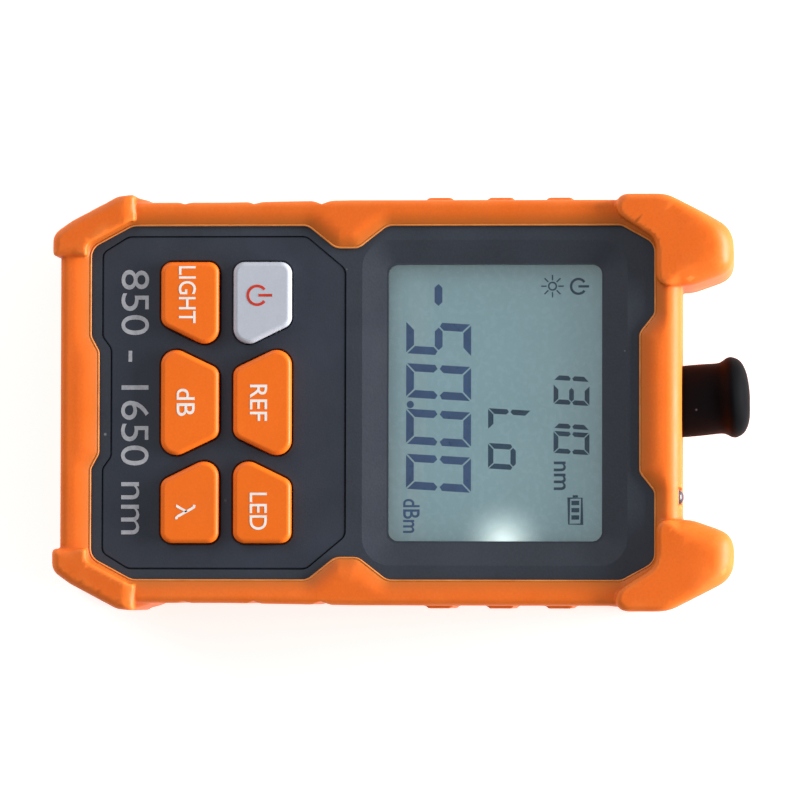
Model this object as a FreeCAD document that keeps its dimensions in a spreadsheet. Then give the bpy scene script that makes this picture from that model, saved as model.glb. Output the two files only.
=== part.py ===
import FreeCAD, Part
import math
import os
import Sketcher

# Hand-held fibre optic power meter in a thick rubber boot, lying on its back.
# +Z is up through the display, +Y runs from the battery end to the fibre port,
# +X is to the user's right. The origin is the middle of the footprint, on the
# surface that the boot rests on. Millimetres throughout.

Vec = FreeCAD.Vector
doc = FreeCAD.newDocument("optical_power_meter")
dims = doc.addObject("Spreadsheet::Sheet", "Dims")

TABLE = [
    # alias, value, what it is
    ("boot_half_width", 35.0, "side wall of the boot"),
    ("boot_low_end", -58.9, "bottom end wall of the boot"),
    ("boot_top_end", 48.5, "top end wall of the boot"),
    ("boot_lip_top", 28.6, "front lip of the boot"),
    ("boot_edge_round", 2.4, "outer front edge of the boot"),
    ("boot_back_round", 1.4, "outer back edge of the boot"),
    ("bumper_half_width", 36.0, "bottom corner bumper"),
    ("bumper_end", -60.3, "bottom corner bumper, end"),
    ("bumper_top", 29.6, "front face of a bottom bumper"),
    ("horn_half_width", 36.15, "top corner horn, side"),
    ("horn_end", 57.6, "top corner horn, end"),
    ("horn_top", 30.0, "front face of a horn"),
    ("horn_inner", 20.1, "inner side of a horn"),
    ("grip_proud", 0.5, "height of a side grip rib"),
    ("grip_length", 4.7, "length of a side grip rib"),
    ("grip_first", 6.65, "first grip rib, centre"),
    ("grip_pitch", 10.6, "grip rib spacing"),
    ("notch_depth", 0.35, "side notch depth"),
    ("back_rim", 1.6, "thickness of the boot under the case"),
    ("back_open_half", 29.0, "opening in the back of the boot"),
    ("back_open_low", -52.0, "opening in the back of the boot"),
    ("back_open_high", 42.0, "opening in the back of the boot"),
    ("open_half_width", 30.7, "front opening of the boot"),
    ("open_low", -53.7, "front opening, bottom"),
    ("open_low_mid", -52.3, "front opening, bottom middle"),
    ("open_high", 44.0, "front opening, top"),
    ("open_high_mid", 41.4, "front opening, top middle"),
    ("lobe_half_width", 26.8, "front opening at the waist"),
    ("lip_slope", 0.7, "fall of the lip at the opening"),
    ("lip_slope_width", 1.4, "width of the sloping band"),
    ("shell_half_width", 32.0, "case, outside"),
    ("shell_low", -56.0, "case, bottom end"),
    ("shell_high", 45.7, "case, top end"),
    ("shell_wall", 2.0, "case wall"),
    ("shell_floor", 2.0, "rear shell floor"),
    ("shell_split", 14.0, "joint between the two shells"),
    ("shell_face", 27.4, "front face of the case"),
    ("face_inside", 25.2, "inner side of the front wall"),
    ("tongue", 1.2, "tongue of the shell joint"),
    ("panel_floor", 26.4, "bottom of the panel recess"),
    ("panel_top", 27.3, "top of the keypad panel"),
    ("panel_gap", 0.15, "gap round the keypad panel"),
    ("panel_half_width", 28.7, "keypad panel"),
    ("panel_low", -51.6, "keypad panel"),
    ("panel_low_mid", -50.1, "keypad panel, bottom middle"),
    ("panel_high", -9.5, "keypad panel"),
    ("window_half_width", 23.9, "display opening"),
    ("window_low", -2.1, "display opening"),
    ("window_high", 34.8, "display opening"),
    ("window_round", 1.7, "display opening corner"),
    ("dish_half_width", 28.1, "dished border of the display"),
    ("dish_low", -6.6, "dished border"),
    ("dish_high", 39.2, "dished border"),
    ("dish_round", 4.8, "dished border corner"),
    ("dish_floor", 26.4, "bottom of the dished border"),
    ("lens_thick", 1.5, "clear window"),
    ("key_column_one", -41.4, "lower row of keys, lower edge"),
    ("key_column_two", -28.85, "upper row of keys, lower edge"),
    ("key_height", 10.05, "key, along the case"),
    ("key_outer", 24.3, "outer edge of the outer keys"),
    ("key_wide", 13.55, "inner edge of an outer key, narrow side"),
    ("key_near", 8.64, "inner edge of an outer key, wide side"),
    ("key_mid_wide", 10.6, "half width of a middle key, wide side"),
    ("key_mid_near", 5.8, "half width of a middle key, narrow side"),
    ("key_top", 28.8, "top of a key"),
    ("key_bottom", 23.6, "underside of a key"),
    ("key_flange_top", 24.7, "top of the key's retaining flange"),
    ("key_flange", 0.8, "width of the retaining flange"),
    ("key_gap", 0.2, "gap round a key in its hole"),
    ("key_round", 1.9, "key corner"),
    ("key_sharp_round", 2.6, "key corner at the sharp end"),
    ("board_bottom", 17.5, "circuit board"),
    ("board_thick", 1.6, "circuit board"),
    ("mat_thick", 1.0, "rubber keypad mat"),
    ("cell_radius", 5.25, "AAA cell"),
    ("cell_length", 44.5, "AAA cell"),
    ("cell_pitch", 11.3, "cell spacing"),
    ("cell_height", 9.4, "cell axis height"),
    ("bay_half_width", 17.2, "battery bay"),
    ("bay_low", -48.0, "battery bay"),
    ("bay_high", 4.0, "battery bay"),
    ("bay_roof", 15.0, "battery bay"),
    ("cover_half_width", 18.4, "battery cover"),
    ("cover_low", -50.5, "battery cover"),
    ("cover_high", 6.5, "battery cover"),
    ("cover_thick", 1.8, "battery cover"),
    ("cover_gap", 0.25, "gap round the battery cover"),
    ("port_height", 15.0, "fibre port axis height"),
    ("ferrule_bore", 2.5, "bore for a 2.5 mm ferrule"),
    ("sleeve_width", 4.6, "alignment sleeve diameter"),
    ("nose_width", 8.0, "adapter nose diameter"),
    ("nose_end", 56.5, "end of the adapter nose"),
    ("cap_width", 12.3, "dust cap diameter"),
    ("cap_flange", 14.2, "dust cap flange diameter"),
    ("cap_start", 47.8, "open end of the dust cap"),
    ("cap_end", 60.3, "domed end of the dust cap"),
    ("torch_offset", 16.1, "torch lamp from the middle line"),
    ("torch_end", 48.8, "tip of the torch lamp"),
    ("boss_offset", 23.5, "case screw from the middle line"),
    ("boss_low", -50.5, "lower case screws"),
    ("boss_high", 40.8, "upper case screws"),
]
for n, (alias, value, note) in enumerate(TABLE, start=1):
    dims.set("A%d" % n, note)
    dims.set("B%d" % n, str(value))
    dims.setAlias("B%d" % n, alias)
doc.recompute()


class Q(object):
    """A length that knows both its value now and its expression."""

    def __init__(self, value, text):
        self.value = float(value)
        self.text = text

    def mix(self, other, sign, flip=False):
        if not isinstance(other, Q):
            other = Q(other, "(%r)" % float(other))
        a, b = (other, self) if flip else (self, other)
        if sign == "+":
            v = a.value + b.value
        elif sign == "-":
            v = a.value - b.value
        elif sign == "*":
            v = a.value * b.value
        else:
            v = a.value / b.value
        return Q(v, "(%s %s %s)" % (a.text, sign, b.text))

    def __add__(self, o):
        return self.mix(o, "+")

    def __radd__(self, o):
        return self.mix(o, "+", True)

    def __sub__(self, o):
        return self.mix(o, "-")

    def __rsub__(self, o):
        return self.mix(o, "-", True)

    def __mul__(self, o):
        return self.mix(o, "*")

    def __rmul__(self, o):
        return self.mix(o, "*", True)

    def __truediv__(self, o):
        return self.mix(o, "/")

    def __neg__(self):
        return self.mix(-1.0, "*")


class Sheet(object):
    def __getattr__(self, alias):
        return Q(dims.get(alias), "Dims." + alias)


d = Sheet()


def num(q):
    return q.value if isinstance(q, Q) else float(q)


def bind(obj, prop, q):
    """Tie a property to the sheet, or set it when it is a plain number."""
    if isinstance(q, Q):
        obj.setExpression(prop, q.text)
    else:
        obj.setExpression(prop, "%r" % float(q))


def mirrored(half):
    """Close a half outline, listed up the +X side, with its mirror image."""
    out = list(half)
    for p in reversed(half):
        if num(p[0]) > 1e-6:
            out.append((-1.0 * p[0],) + tuple(p[1:]))
    return out


def flip(points):
    """The same outline on the -X side."""
    return [(-1.0 * p[0],) + tuple(p[1:]) for p in reversed(points)]


def outline(sk, points):
    """Closed outline through corner points (x, y, corner radius)."""
    n = len(points)
    P = [Vec(num(p[0]), num(p[1]), 0) for p in points]
    R = [num(p[2]) if len(p) > 2 else 0.0 for p in points]
    A, B, C = [], [], []
    for i in range(n):
        a, b, c = P[i - 1], P[i], P[(i + 1) % n]
        u = (a - b).normalize()
        w = (c - b).normalize()
        ang = math.acos(max(-1.0, min(1.0, u.dot(w))))
        if R[i] > 0:
            t = R[i] / math.tan(ang / 2)
            A.append(b + u * t)
            B.append(b + w * t)
            C.append(b + (u + w).normalize() * (R[i] / math.sin(ang / 2)))
        else:
            A.append(b)
            B.append(b)
            C.append(None)
    lines = []
    for i in range(n):
        j = (i + 1) % n
        if (A[j] - B[i]).dot(P[j] - P[i]) <= 0:
            raise RuntimeError("corner too large in %s at %d" % (sk.Name, i))
        lines.append(sk.addGeometry(Part.LineSegment(B[i], A[j]), False))
    arcs = {}
    for i in range(n):
        if R[i] > 0:
            c = C[i]
            s = A[i] - c
            e = B[i] - c
            a0 = math.atan2(s.y, s.x)
            a1 = math.atan2(e.y, e.x)
            ccw = (s.x * e.y - s.y * e.x) > 0
            if not ccw:
                a0, a1 = a1, a0
            g = sk.addGeometry(Part.ArcOfCircle(Part.Circle(c, Vec(0, 0, 1), R[i]), a0, a1), False)
            arcs[i] = (g, 1 if ccw else 2, 2 if ccw else 1)
    cons = []
    binds = []
    for i in range(n):
        lin, lout = lines[i - 1], lines[i]
        if R[i] > 0:
            g, ps, pe = arcs[i]
            pt = sk.addGeometry(Part.Point(P[i]), True)
            cons.append(Sketcher.Constraint("Tangent", lin, 2, g, ps))
            cons.append(Sketcher.Constraint("Tangent", g, pe, lout, 1))
            cons.append(Sketcher.Constraint("PointOnObject", pt, 1, lin))
            cons.append(Sketcher.Constraint("PointOnObject", pt, 1, lout))
            cons.append(Sketcher.Constraint("Radius", g, R[i]))
            binds.append((len(cons) - 1, points[i][2]))
            who = (pt, 1)
        else:
            cons.append(Sketcher.Constraint("Coincident", lin, 2, lout, 1))
            who = (lout, 1)
        cons.append(Sketcher.Constraint("DistanceX", -1, 1, who[0], who[1], P[i].x))
        binds.append((len(cons) - 1, points[i][0]))
        cons.append(Sketcher.Constraint("DistanceY", -1, 1, who[0], who[1], P[i].y))
        binds.append((len(cons) - 1, points[i][1]))
    base = sk.ConstraintCount
    sk.addConstraint(cons)
    for k, q in binds:
        if isinstance(q, Q):
            sk.setExpression("Constraints[%d]" % (base + k), q.text)


def circle(sk, x, y, r):
    g = sk.addGeometry(Part.Circle(Vec(num(x), num(y), 0), Vec(0, 0, 1), num(r)), False)
    base = sk.ConstraintCount
    sk.addConstraint([
        Sketcher.Constraint("DistanceX", -1, 1, g, 3, num(x)),
        Sketcher.Constraint("DistanceY", -1, 1, g, 3, num(y)),
        Sketcher.Constraint("Radius", g, num(r))])
    for k, q in enumerate((x, y, r)):
        if isinstance(q, Q):
            sk.setExpression("Constraints[%d]" % (base + k), q.text)


def rect(x0, x1, y0, y1, r=None):
    if r is None:
        return [(x0, y0), (x1, y0), (x1, y1), (x0, y1)]
    return [(x0, y0, r), (x1, y0, r), (x1, y1, r), (x0, y1, r)]


def plane(body, role):
    for o in body.Origin.OriginFeatures:
        if o.Role == role:
            return o


def new_body(label):
    b = doc.addObject("PartDesign::Body", label)
    b.Label = label
    return b


def sketch(body, name, loops, level=0.0, role="XY_Plane"):
    """Sketch on an origin plane of its own body, raised to a level."""
    s = body.newObject("Sketcher::SketchObject", name)
    s.AttachmentSupport = (plane(body, role), [""])
    s.MapMode = "FlatFace"
    bind(s, "AttachmentOffset.Base.z", level)
    for loop in loops:
        if loop[0] == "circle":
            circle(s, *loop[1:])
        else:
            outline(s, loop)
    return s


cuts = []


def pad(body, name, loops, low, high, role="XY_Plane"):
    s = sketch(body, name + "_sketch", loops, low, role)
    f = body.newObject("PartDesign::Pad", name)
    f.Profile = s
    bind(f, "Length", high - low)
    return f


def pocket(body, name, loops, low, high, role="XY_Plane"):
    """Cut from the sketch at the low level up to the high level."""
    s = sketch(body, name + "_sketch", loops, low, role)
    f = body.newObject("PartDesign::Pocket", name)
    f.Profile = s
    f.Reversed = True
    bind(f, "Length", high - low)
    cuts.append((f, body))
    return f


def revolve(body, name, points, cut=False):
    """Turn a profile about the port axis: points are (radius, y)."""
    s = body.newObject("Sketcher::SketchObject", name + "_sketch")
    s.AttachmentSupport = (plane(body, "XY_Plane"), [""])
    s.MapMode = "FlatFace"
    outline(s, points)
    f = body.newObject("PartDesign::Groove" if cut else "PartDesign::Revolution", name)
    f.Profile = s
    f.ReferenceAxis = (s, ["V_Axis"])
    f.Angle = 360.0
    if cut:
        cuts.append((f, body))
    return f


def round_edges(body, name, radius, test, kind="PartDesign::Fillet"):
    """Fillet or chamfer the edges of the body that pass the test."""
    doc.recompute()
    tip = body.Tip
    names = []
    for i, e in enumerate(tip.Shape.Edges):
        if test(e):
            names.append("Edge%d" % (i + 1))
    if not names:
        raise RuntimeError("no edges for " + name)
    f = body.newObject(kind, name)
    f.Base = (tip, names)
    bind(f, "Radius" if kind == "PartDesign::Fillet" else "Size", radius)
    doc.recompute()
    if f.Shape.isNull() or "Invalid" in f.State or not f.Shape.isValid():
        raise RuntimeError("edge feature failed: " + name)
    return f


def at_level(z, tol=1e-4):
    """Edges that lie flat at one height."""
    z = num(z)

    def test(e):
        bb = e.BoundBox
        return abs(bb.ZMin - z) < tol and abs(bb.ZMax - z) < tol
    return test


def shell_loop(inset, corner=3.0):
    """Outline of the case, moved in by an inset."""
    r = max(corner - num(inset) * 0.5, 0.6)
    return mirrored([
        (0, d.shell_low + inset),
        (d.shell_half_width - 3.8 - 0.6 * inset, d.shell_low + inset, r),
        (d.shell_half_width - inset, d.shell_low + 7.0 + 0.25 * inset, r),
        (d.shell_half_width - inset, d.shell_high - 6.8 - 0.26 * inset, r),
        (d.shell_half_width - 3.7 - 0.6 * inset, d.shell_high - inset, r),
        (0, d.shell_high - inset)])


def opening_loop(grow=0.0):
    return mirrored([
        (0, d.open_low_mid - grow),
        (8.8 + 0.2 * grow, d.open_low_mid - grow, 1.8),
        (11.4 + 0.2 * grow, d.open_low - grow, 1.8),
        (26.8 + 0.55 * grow, d.open_low - grow, 2.6),
        (d.open_half_width + grow, -46.5 - 0.25 * grow, 3.0),
        (d.open_half_width + grow, -16.0 + 0.36 * grow, 2.6),
        (d.lobe_half_width + grow, -11.2 + 0.36 * grow, 2.4),
        (d.lobe_half_width + grow, -7.3 - 0.36 * grow, 2.4),
        (d.open_half_width + grow, -2.3 - 0.36 * grow, 2.6),
        (d.open_half_width + grow, 38.2 + 0.25 * grow, 2.6),
        (27.5 + 0.55 * grow, d.open_high + grow, 2.6),
        (15.3 + 0.3 * grow, d.open_high + grow, 1.8),
        (12.0 + 0.3 * grow, d.open_high_mid + grow, 1.8),
        (0, d.open_high_mid + grow)])


def panel_loop(grow=0.0):
    return mirrored([
        (0, d.panel_low_mid - grow),
        (9.3, d.panel_low_mid - grow, 1.6),
        (11.4, d.panel_low - grow, 1.6),
        (26.0, d.panel_low - grow, 1.6),
        (d.panel_half_width + grow, -47.2, 2.2),
        (d.panel_half_width + grow, -16.2, 2.2),
        (23.1, d.panel_high + grow, 2.0),
        (0, d.panel_high + grow)])


# ---------------------------------------------------------------- keys
def key_loop(column, side, grow=0.0):
    """Key outline. Column 1 is the lower row; side is -1, 0 or +1."""
    y0 = d.key_column_one if column == 1 else d.key_column_two
    y1 = y0 + d.key_height
    r, s = d.key_round, d.key_sharp_round
    if num(grow) > 0:
        r, s = r + grow, s + grow
    elif num(grow) < 0:
        r, s = r + grow, s + grow
    # the slanted edge moves sideways by more than the normal offset
    k = 1.11
    if side == 0:
        wide, near = d.key_mid_wide, d.key_mid_near
        if column == 1:
            pts = [(-1.0 * (wide + (k + 0.48) * grow), y0 - grow, s),
                   (wide + (k + 0.48) * grow, y0 - grow, s),
                   (near + (k - 0.48) * grow, y1 + grow, r),
                   (-1.0 * (near + (k - 0.48) * grow), y1 + grow, r)]
        else:
            pts = [(-1.0 * (near + (k - 0.48) * grow), y0 - grow, r),
                   (near + (k - 0.48) * grow, y0 - grow, r),
                   (wide + (k + 0.48) * grow, y1 + grow, s),
                   (-1.0 * (wide + (k + 0.48) * grow), y1 + grow, s)]
        return pts
    if column == 1:
        pts = [(d.key_wide - (k - 0.48) * grow, y0 - grow, r),
               (d.key_outer + grow, y0 - grow, r),
               (d.key_outer + grow, y1 + grow, r),
               (d.key_near - (k + 0.48) * grow, y1 + grow, s)]
    else:
        pts = [(d.key_near - (k + 0.48) * grow, y0 - grow, s),
               (d.key_outer + grow, y0 - grow, r),
               (d.key_outer + grow, y1 + grow, r),
               (d.key_wide - (k - 0.48) * grow, y1 + grow, r)]
    return pts if side > 0 else flip(pts)


KEYS = [("key_light", 1, -1), ("key_decibel", 1, 0), ("key_wavelength", 1, 1),
        ("key_power", 2, -1), ("key_reference", 2, 0), ("key_torch", 2, 1)]

nodes = []
for label, column, side in KEYS:
    b = new_body(label)
    pad(b, label + "_flange", [key_loop(column, side, d.key_flange)], d.key_bottom, d.key_flange_top)
    pad(b, label + "_cap", [key_loop(column, side)], d.key_flange_top - 0.4, d.key_top)
    round_edges(b, label + "_round", 0.8, at_level(d.key_top))
    nodes.append(b)

# ---------------------------------------------------------------- keypad panel
b = new_body("keypad_panel")
pad(b, "panel_plate", [panel_loop()] + [key_loop(c, s, d.key_gap) for _, c, s in KEYS],
    d.panel_floor, d.panel_top)
round_edges(b, "panel_edge", 0.2, lambda e: at_level(d.panel_top)(e), "PartDesign::Chamfer")
nodes.append(b)

# ---------------------------------------------------------------- front shell
b = new_body("front_shell")
pad(b, "front_block", [shell_loop(0.0)], d.shell_split, d.shell_face)
round_edges(b, "front_edge", 1.2, at_level(d.shell_face))
pocket(b, "front_hollow", [shell_loop(d.shell_wall)], d.shell_split, d.face_inside)
# tongue that reaches into the rear shell
pad(b, "front_tongue", [shell_loop(d.shell_wall - 1.0), shell_loop(d.shell_wall)],
    d.shell_split - d.tongue, d.shell_split)
pocket(b, "panel_recess", [panel_loop(d.panel_gap)], d.panel_floor, d.shell_face)
for label, column, side in KEYS:
    pocket(b, label + "_hole", [key_loop(column, side, d.key_gap)], d.face_inside, d.panel_floor)
# dished border: a loft from the rounded outline down to the window opening
lo = sketch(b, "dish_small", [rect(-1.0 * d.window_half_width - 0.3, d.window_half_width + 0.3,
                                   d.window_low - 0.3, d.window_high + 0.3, d.window_round)], d.dish_floor)
hi = sketch(b, "dish_large", [rect(-1.0 * d.dish_half_width, d.dish_half_width,
                                   d.dish_low, d.dish_high, d.dish_round)], d.shell_face)
dish = b.newObject("PartDesign::SubtractiveLoft", "dish")
dish.Profile = lo
dish.Sections = [hi]
dish.Ruled = True
cuts.append((dish, b))
pocket(b, "window_hole", [rect(-1.0 * d.window_half_width, d.window_half_width, d.window_low,
                               d.window_high, d.window_round)], d.face_inside, d.shell_face)
# bosses for the case screws
boss = []
for sx in (-1.0, 1.0):
    for y in (d.boss_low, d.boss_high):
        boss.append((sx * d.boss_offset, y))
pad(b, "front_bosses", [("circle", x, y, 2.7) for x, y in boss], d.shell_split - 1.3, d.face_inside)
board_screws = [(-27.2, -13.0), (27.2, -13.0), (-6.5, -50.0), (6.5, -50.0)]
pad(b, "board_posts", [("circle", x, y, 1.8) for x, y in board_screws],
    d.board_bottom + d.board_thick, d.face_inside)
pocket(b, "boss_bores", [("circle", x, y, 1.25) for x, y in boss], d.shell_split - 1.3, d.shell_split + 8.0)
pocket(b, "post_bores", [("circle", x, y, 0.95) for x, y in board_screws],
       d.board_bottom + d.board_thick, d.board_bottom + d.board_thick + 4.5)
nodes.append(b)


# the port and torch holes run along Y, so they are drawn on the XZ plane,
# whose normal is -Y: a level of -y puts the sketch at y
def cross_hole(body, name, x, z, radius, y0, y1):
    s = sketch(body, name + "_sketch", [("circle", x, z, radius)], -1.0 * y1, "XZ_Plane")
    f = body.newObject("PartDesign::Pocket", name)
    f.Profile = s
    f.Reversed = True
    bind(f, "Length", y1 - y0)
    cuts.append((f, body))
    return f


cross_hole(b, "front_port_hole", 0.0, d.port_height, d.nose_width / 2 + 0.1, d.shell_high - 3.0, d.shell_high + 1.0)
cross_hole(b, "front_torch_hole", d.torch_offset, d.port_height, 1.55, d.shell_high - 3.0, d.shell_high + 1.0)

# ---------------------------------------------------------------- rear shell
b = new_body("rear_shell")
pad(b, "rear_block", [shell_loop(0.0)], d.back_rim, d.shell_split)
round_edges(b, "rear_edge", 1.0, at_level(d.back_rim))
pocket(b, "rear_hollow", [shell_loop(d.shell_wall)], d.back_rim + d.shell_floor, d.shell_split)
pocket(b, "rear_rebate", [shell_loop(d.shell_wall - 1.05), shell_loop(d.shell_wall + 0.5)],
       d.shell_split - d.tongue - 0.1, d.shell_split)
floor_in = d.back_rim + d.shell_floor
bay = rect(-1.0 * d.bay_half_width, d.bay_half_width, d.bay_low, d.bay_high)
# ledge round the battery bay, the bay's walls and its roof
pad(b, "bay_ledge", [rect(-1.0 * d.bay_half_width - 3.4, d.bay_half_width + 3.4,
                          d.bay_low - 4.4, d.bay_high + 4.4), bay], floor_in - 0.2, floor_in + 1.2)
pad(b, "bay_walls", [rect(-1.0 * d.bay_half_width - 1.4, d.bay_half_width + 1.4,
                          d.bay_low - 1.4, d.bay_high + 1.4), bay], floor_in, d.bay_roof + 0.2)
pad(b, "bay_ceiling", [rect(-1.0 * d.bay_half_width - 1.4, d.bay_half_width + 1.4,
                            d.bay_low - 1.4, d.bay_high + 1.4)], d.bay_roof, d.bay_roof + 1.2)
pad(b, "rear_bosses", [("circle", x, y, 3.3) for x, y in boss], floor_in - 0.2, d.shell_split - d.tongue - 0.2)
g = d.cover_gap
pocket(b, "cover_hole", [rect(-1.0 * d.cover_half_width - g, d.cover_half_width + g,
                              d.cover_low - g, d.cover_high + g, 2.2)], d.back_rim - 0.5, floor_in)
# room for the two tabs of the cover, and for the snap tongue at the other end
pocket(b, "tab_slots", [rect(-13.4, -6.6, d.cover_low - 2.5, d.bay_low + 0.5),
                        rect(6.6, 13.4, d.cover_low - 2.5, d.bay_low + 0.5)], floor_in, floor_in + 2.2)
pocket(b, "snap_slot", [rect(-5.4, 5.4, d.bay_high - 0.5, d.cover_high + 1.6)], floor_in, floor_in + 2.2)
pocket(b, "head_bores", [("circle", x, y, 2.5) for x, y in boss], d.back_rim, 6.0)
pocket(b, "shank_bores", [("circle", x, y, 1.4) for x, y in boss], 5.5, d.shell_split)
# slots where the two end contacts pass the roof to the board
pocket(b, "contact_slots", [rect(-1.0 * d.cell_pitch - 1.2, -1.0 * d.cell_pitch + 1.2, d.bay_low - 0.1, d.bay_low + 0.5),
                            rect(d.cell_pitch - 1.2, d.cell_pitch + 1.2, d.bay_high - 0.5, d.bay_high + 0.1)],
       d.bay_roof - 0.2, d.bay_roof + 1.4)
cross_hole(b, "rear_port_hole", 0.0, d.port_height, d.nose_width / 2 + 0.1, d.shell_high - 3.0, d.shell_high + 1.0)
cross_hole(b, "rear_torch_hole", d.torch_offset, d.port_height, 1.55, d.shell_high - 3.0, d.shell_high + 1.0)
nodes.append(b)

# ---------------------------------------------------------------- battery cover
b = new_body("battery_cover")
pad(b, "cover_plate", [rect(-1.0 * d.cover_half_width, d.cover_half_width, d.cover_low, d.cover_high, 2.0)],
    d.back_rim, d.back_rim + d.cover_thick)
round_edges(b, "cover_edge", 0.4, at_level(d.back_rim))
cover_in = d.back_rim + d.cover_thick
# neck and tab of each hook: the tab lies over the floor of the rear shell
pad(b, "tab_necks", [rect(-13.0, -7.0, d.cover_low, d.cover_low + 1.2),
                     rect(7.0, 13.0, d.cover_low, d.cover_low + 1.2)], cover_in - 0.3, cover_in + 1.4)
pad(b, "tab_hooks", [rect(-13.0, -7.0, d.cover_low - 1.7, d.cover_low + 1.2),
                     rect(7.0, 13.0, d.cover_low - 1.7, d.cover_low + 1.2)], cover_in + 0.35, cover_in + 1.4)
# snap tongue at the other end, clear of its catch
pad(b, "snap_tongue", [rect(-4.6, 4.6, d.cover_high - 1.6, d.cover_high - 0.6)], cover_in - 0.3, cover_in + 1.7)
# finger ribs beside the snap
pocket(b, "thumb_dip", [rect(-8.0, 8.0, d.cover_high - 9.0, d.cover_high - 2.6, 2.5)], d.back_rim - 0.2, d.back_rim + 0.7)
pad(b, "thumb_ribs", [rect(-6.0, 6.0, d.cover_high - 8.0 + 1.7 * i, d.cover_high - 7.2 + 1.7 * i) for i in range(3)],
    d.back_rim + 0.1, d.back_rim + 0.9)
nodes.append(b)

# ---------------------------------------------------------------- display stack
b = new_body("display_window")
pad(b, "window_plate", [rect(-25.4, 25.4, -3.8, 36.5, 2.0)], d.face_inside - d.lens_thick, d.face_inside)
nodes.append(b)

b = new_body("window_gasket")
pad(b, "gasket_ring", [rect(-25.2, 25.2, -3.6, 36.2, 1.5), rect(-24.2, 24.2, -2.6, 35.2, 1.2)],
    23.2, d.face_inside - d.lens_thick)
nodes.append(b)

b = new_body("lcd_glass")
pad(b, "glass_front", [rect(-25.0, 25.0, -4.9, 36.3)], 22.2, 23.2)
pad(b, "glass_back", [rect(-25.0, 25.0, -6.8, 36.3)], 21.2, 22.2)
nodes.append(b)

b = new_body("backlight_panel")
pad(b, "backlight_plate", [rect(-24.9, 24.9, -4.4, 36.2)], 19.3, 21.1)
nodes.append(b)

b = new_body("zebra_strip")
pad(b, "zebra_bar", [rect(-23.5, 23.5, -6.7, -4.9)], d.board_bottom + d.board_thick, 21.2)
nodes.append(b)

b = new_body("lcd_frame")
pad(b, "frame_ring", [rect(-26.7, 26.7, -8.6, 37.6, 1.0), rect(-25.2, 25.2, -7.0, 36.5)],
    d.board_bottom + d.board_thick, 23.1)
pad(b, "frame_lugs", [rect(-28.4, -26.0, 3.0, 9.0, 0.8), rect(26.0, 28.4, 3.0, 9.0, 0.8),
                      rect(-28.4, -26.0, 25.0, 31.0, 0.8), rect(26.0, 28.4, 25.0, 31.0, 0.8)],
    d.board_bottom + d.board_thick, d.board_bottom + d.board_thick + 1.4)
nodes.append(b)

# ---------------------------------------------------------------- circuit board
b = new_body("main_board")
board_top = d.board_bottom + d.board_thick
pad(b, "board_plate", [[(-18.6, -53.0), (18.6, -53.0), (18.6, -46.4), (28.8, -46.4), (28.8, 36.6), (18.6, 36.6),
                        (18.6, 40.6), (7.0, 40.6), (7.0, 34.6), (-7.0, 34.6), (-7.0, 40.6), (-18.6, 40.6),
                        (-18.6, 36.6), (-28.8, 36.6), (-28.8, -46.4), (-18.6, -46.4)]],
    d.board_bottom, board_top)
pocket(b, "board_holes", [("circle", x, y, 1.05) for x, y in board_screws], d.board_bottom - 0.1, board_top + 0.1)
nodes.append(b)

# silicone mat with a hollow dome under each key
b = new_body("keypad_mat")
pad(b, "mat_sheet", [rect(-25.6, 25.6, -44.2, -16.2, 2.0)], board_top, board_top + d.mat_thick)
centres = []
for label, column, side in KEYS:
    y = (d.key_column_one if column == 1 else d.key_column_two) + d.key_height / 2
    centres.append((side * 17.6, y) if side else (0.0, y))
pad(b, "mat_domes", [("circle", x, y, 3.2) for x, y in centres], board_top + d.mat_thick - 0.2, d.key_bottom)
round_edges(b, "mat_round", 0.8, at_level(d.key_bottom))
pocket(b, "mat_hollows", [("circle", x, y, 2.0) for x, y in centres], board_top, board_top + 2.4)
nodes.append(b)

b = new_body("processor_chip")
pad(b, "processor_block", [rect(-20.0, -10.0, 15.0, 25.0)], d.board_bottom - 1.4, d.board_bottom)
round_edges(b, "processor_edge", 0.2, at_level(num(d.board_bottom) - 1.4), "PartDesign::Chamfer")
nodes.append(b)

b = new_body("amplifier_chip")
pad(b, "amplifier_block", [rect(4.0, 9.0, 24.0, 28.0)], d.board_bottom - 1.5, d.board_bottom)
round_edges(b, "amplifier_edge", 0.2, at_level(num(d.board_bottom) - 1.5), "PartDesign::Chamfer")
nodes.append(b)

# ---------------------------------------------------------------- fibre port
def on_port(body, x=0.0):
    """Lift a part that was turned about the Y axis to the port's height."""
    bind(body, "Placement.Base.x", x)
    bind(body, "Placement.Base.z", d.port_height)


b = new_body("fibre_adapter")
nose = d.nose_width / 2
bore = d.sleeve_width / 2
revolve(b, "adapter_turned", [
    (1.6, d.shell_high - 4.5), (6.0, d.shell_high - 4.5), (6.0, d.shell_high - 2.0), (nose, d.shell_high - 2.0),
    (nose, d.nose_end), (3.3, d.nose_end), (3.3, d.shell_high + 0.6), (bore, d.shell_high + 0.6),
    (bore, d.shell_high - 2.7), (1.6, d.shell_high - 2.7)])
round_edges(b, "adapter_mouth", 0.3, lambda e: abs(e.BoundBox.YMin - num(d.nose_end)) < 1e-4, "PartDesign::Chamfer")
on_port(b)
nodes.append(b)

b = new_body("ferrule_sleeve")
revolve(b, "sleeve_turned", [
    (d.ferrule_bore / 2, d.shell_high - 2.7), (bore, d.shell_high - 2.7), (bore, d.nose_end - 2.0),
    (d.ferrule_bore / 2, d.nose_end - 2.0)])
on_port(b)
nodes.append(b)

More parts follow.
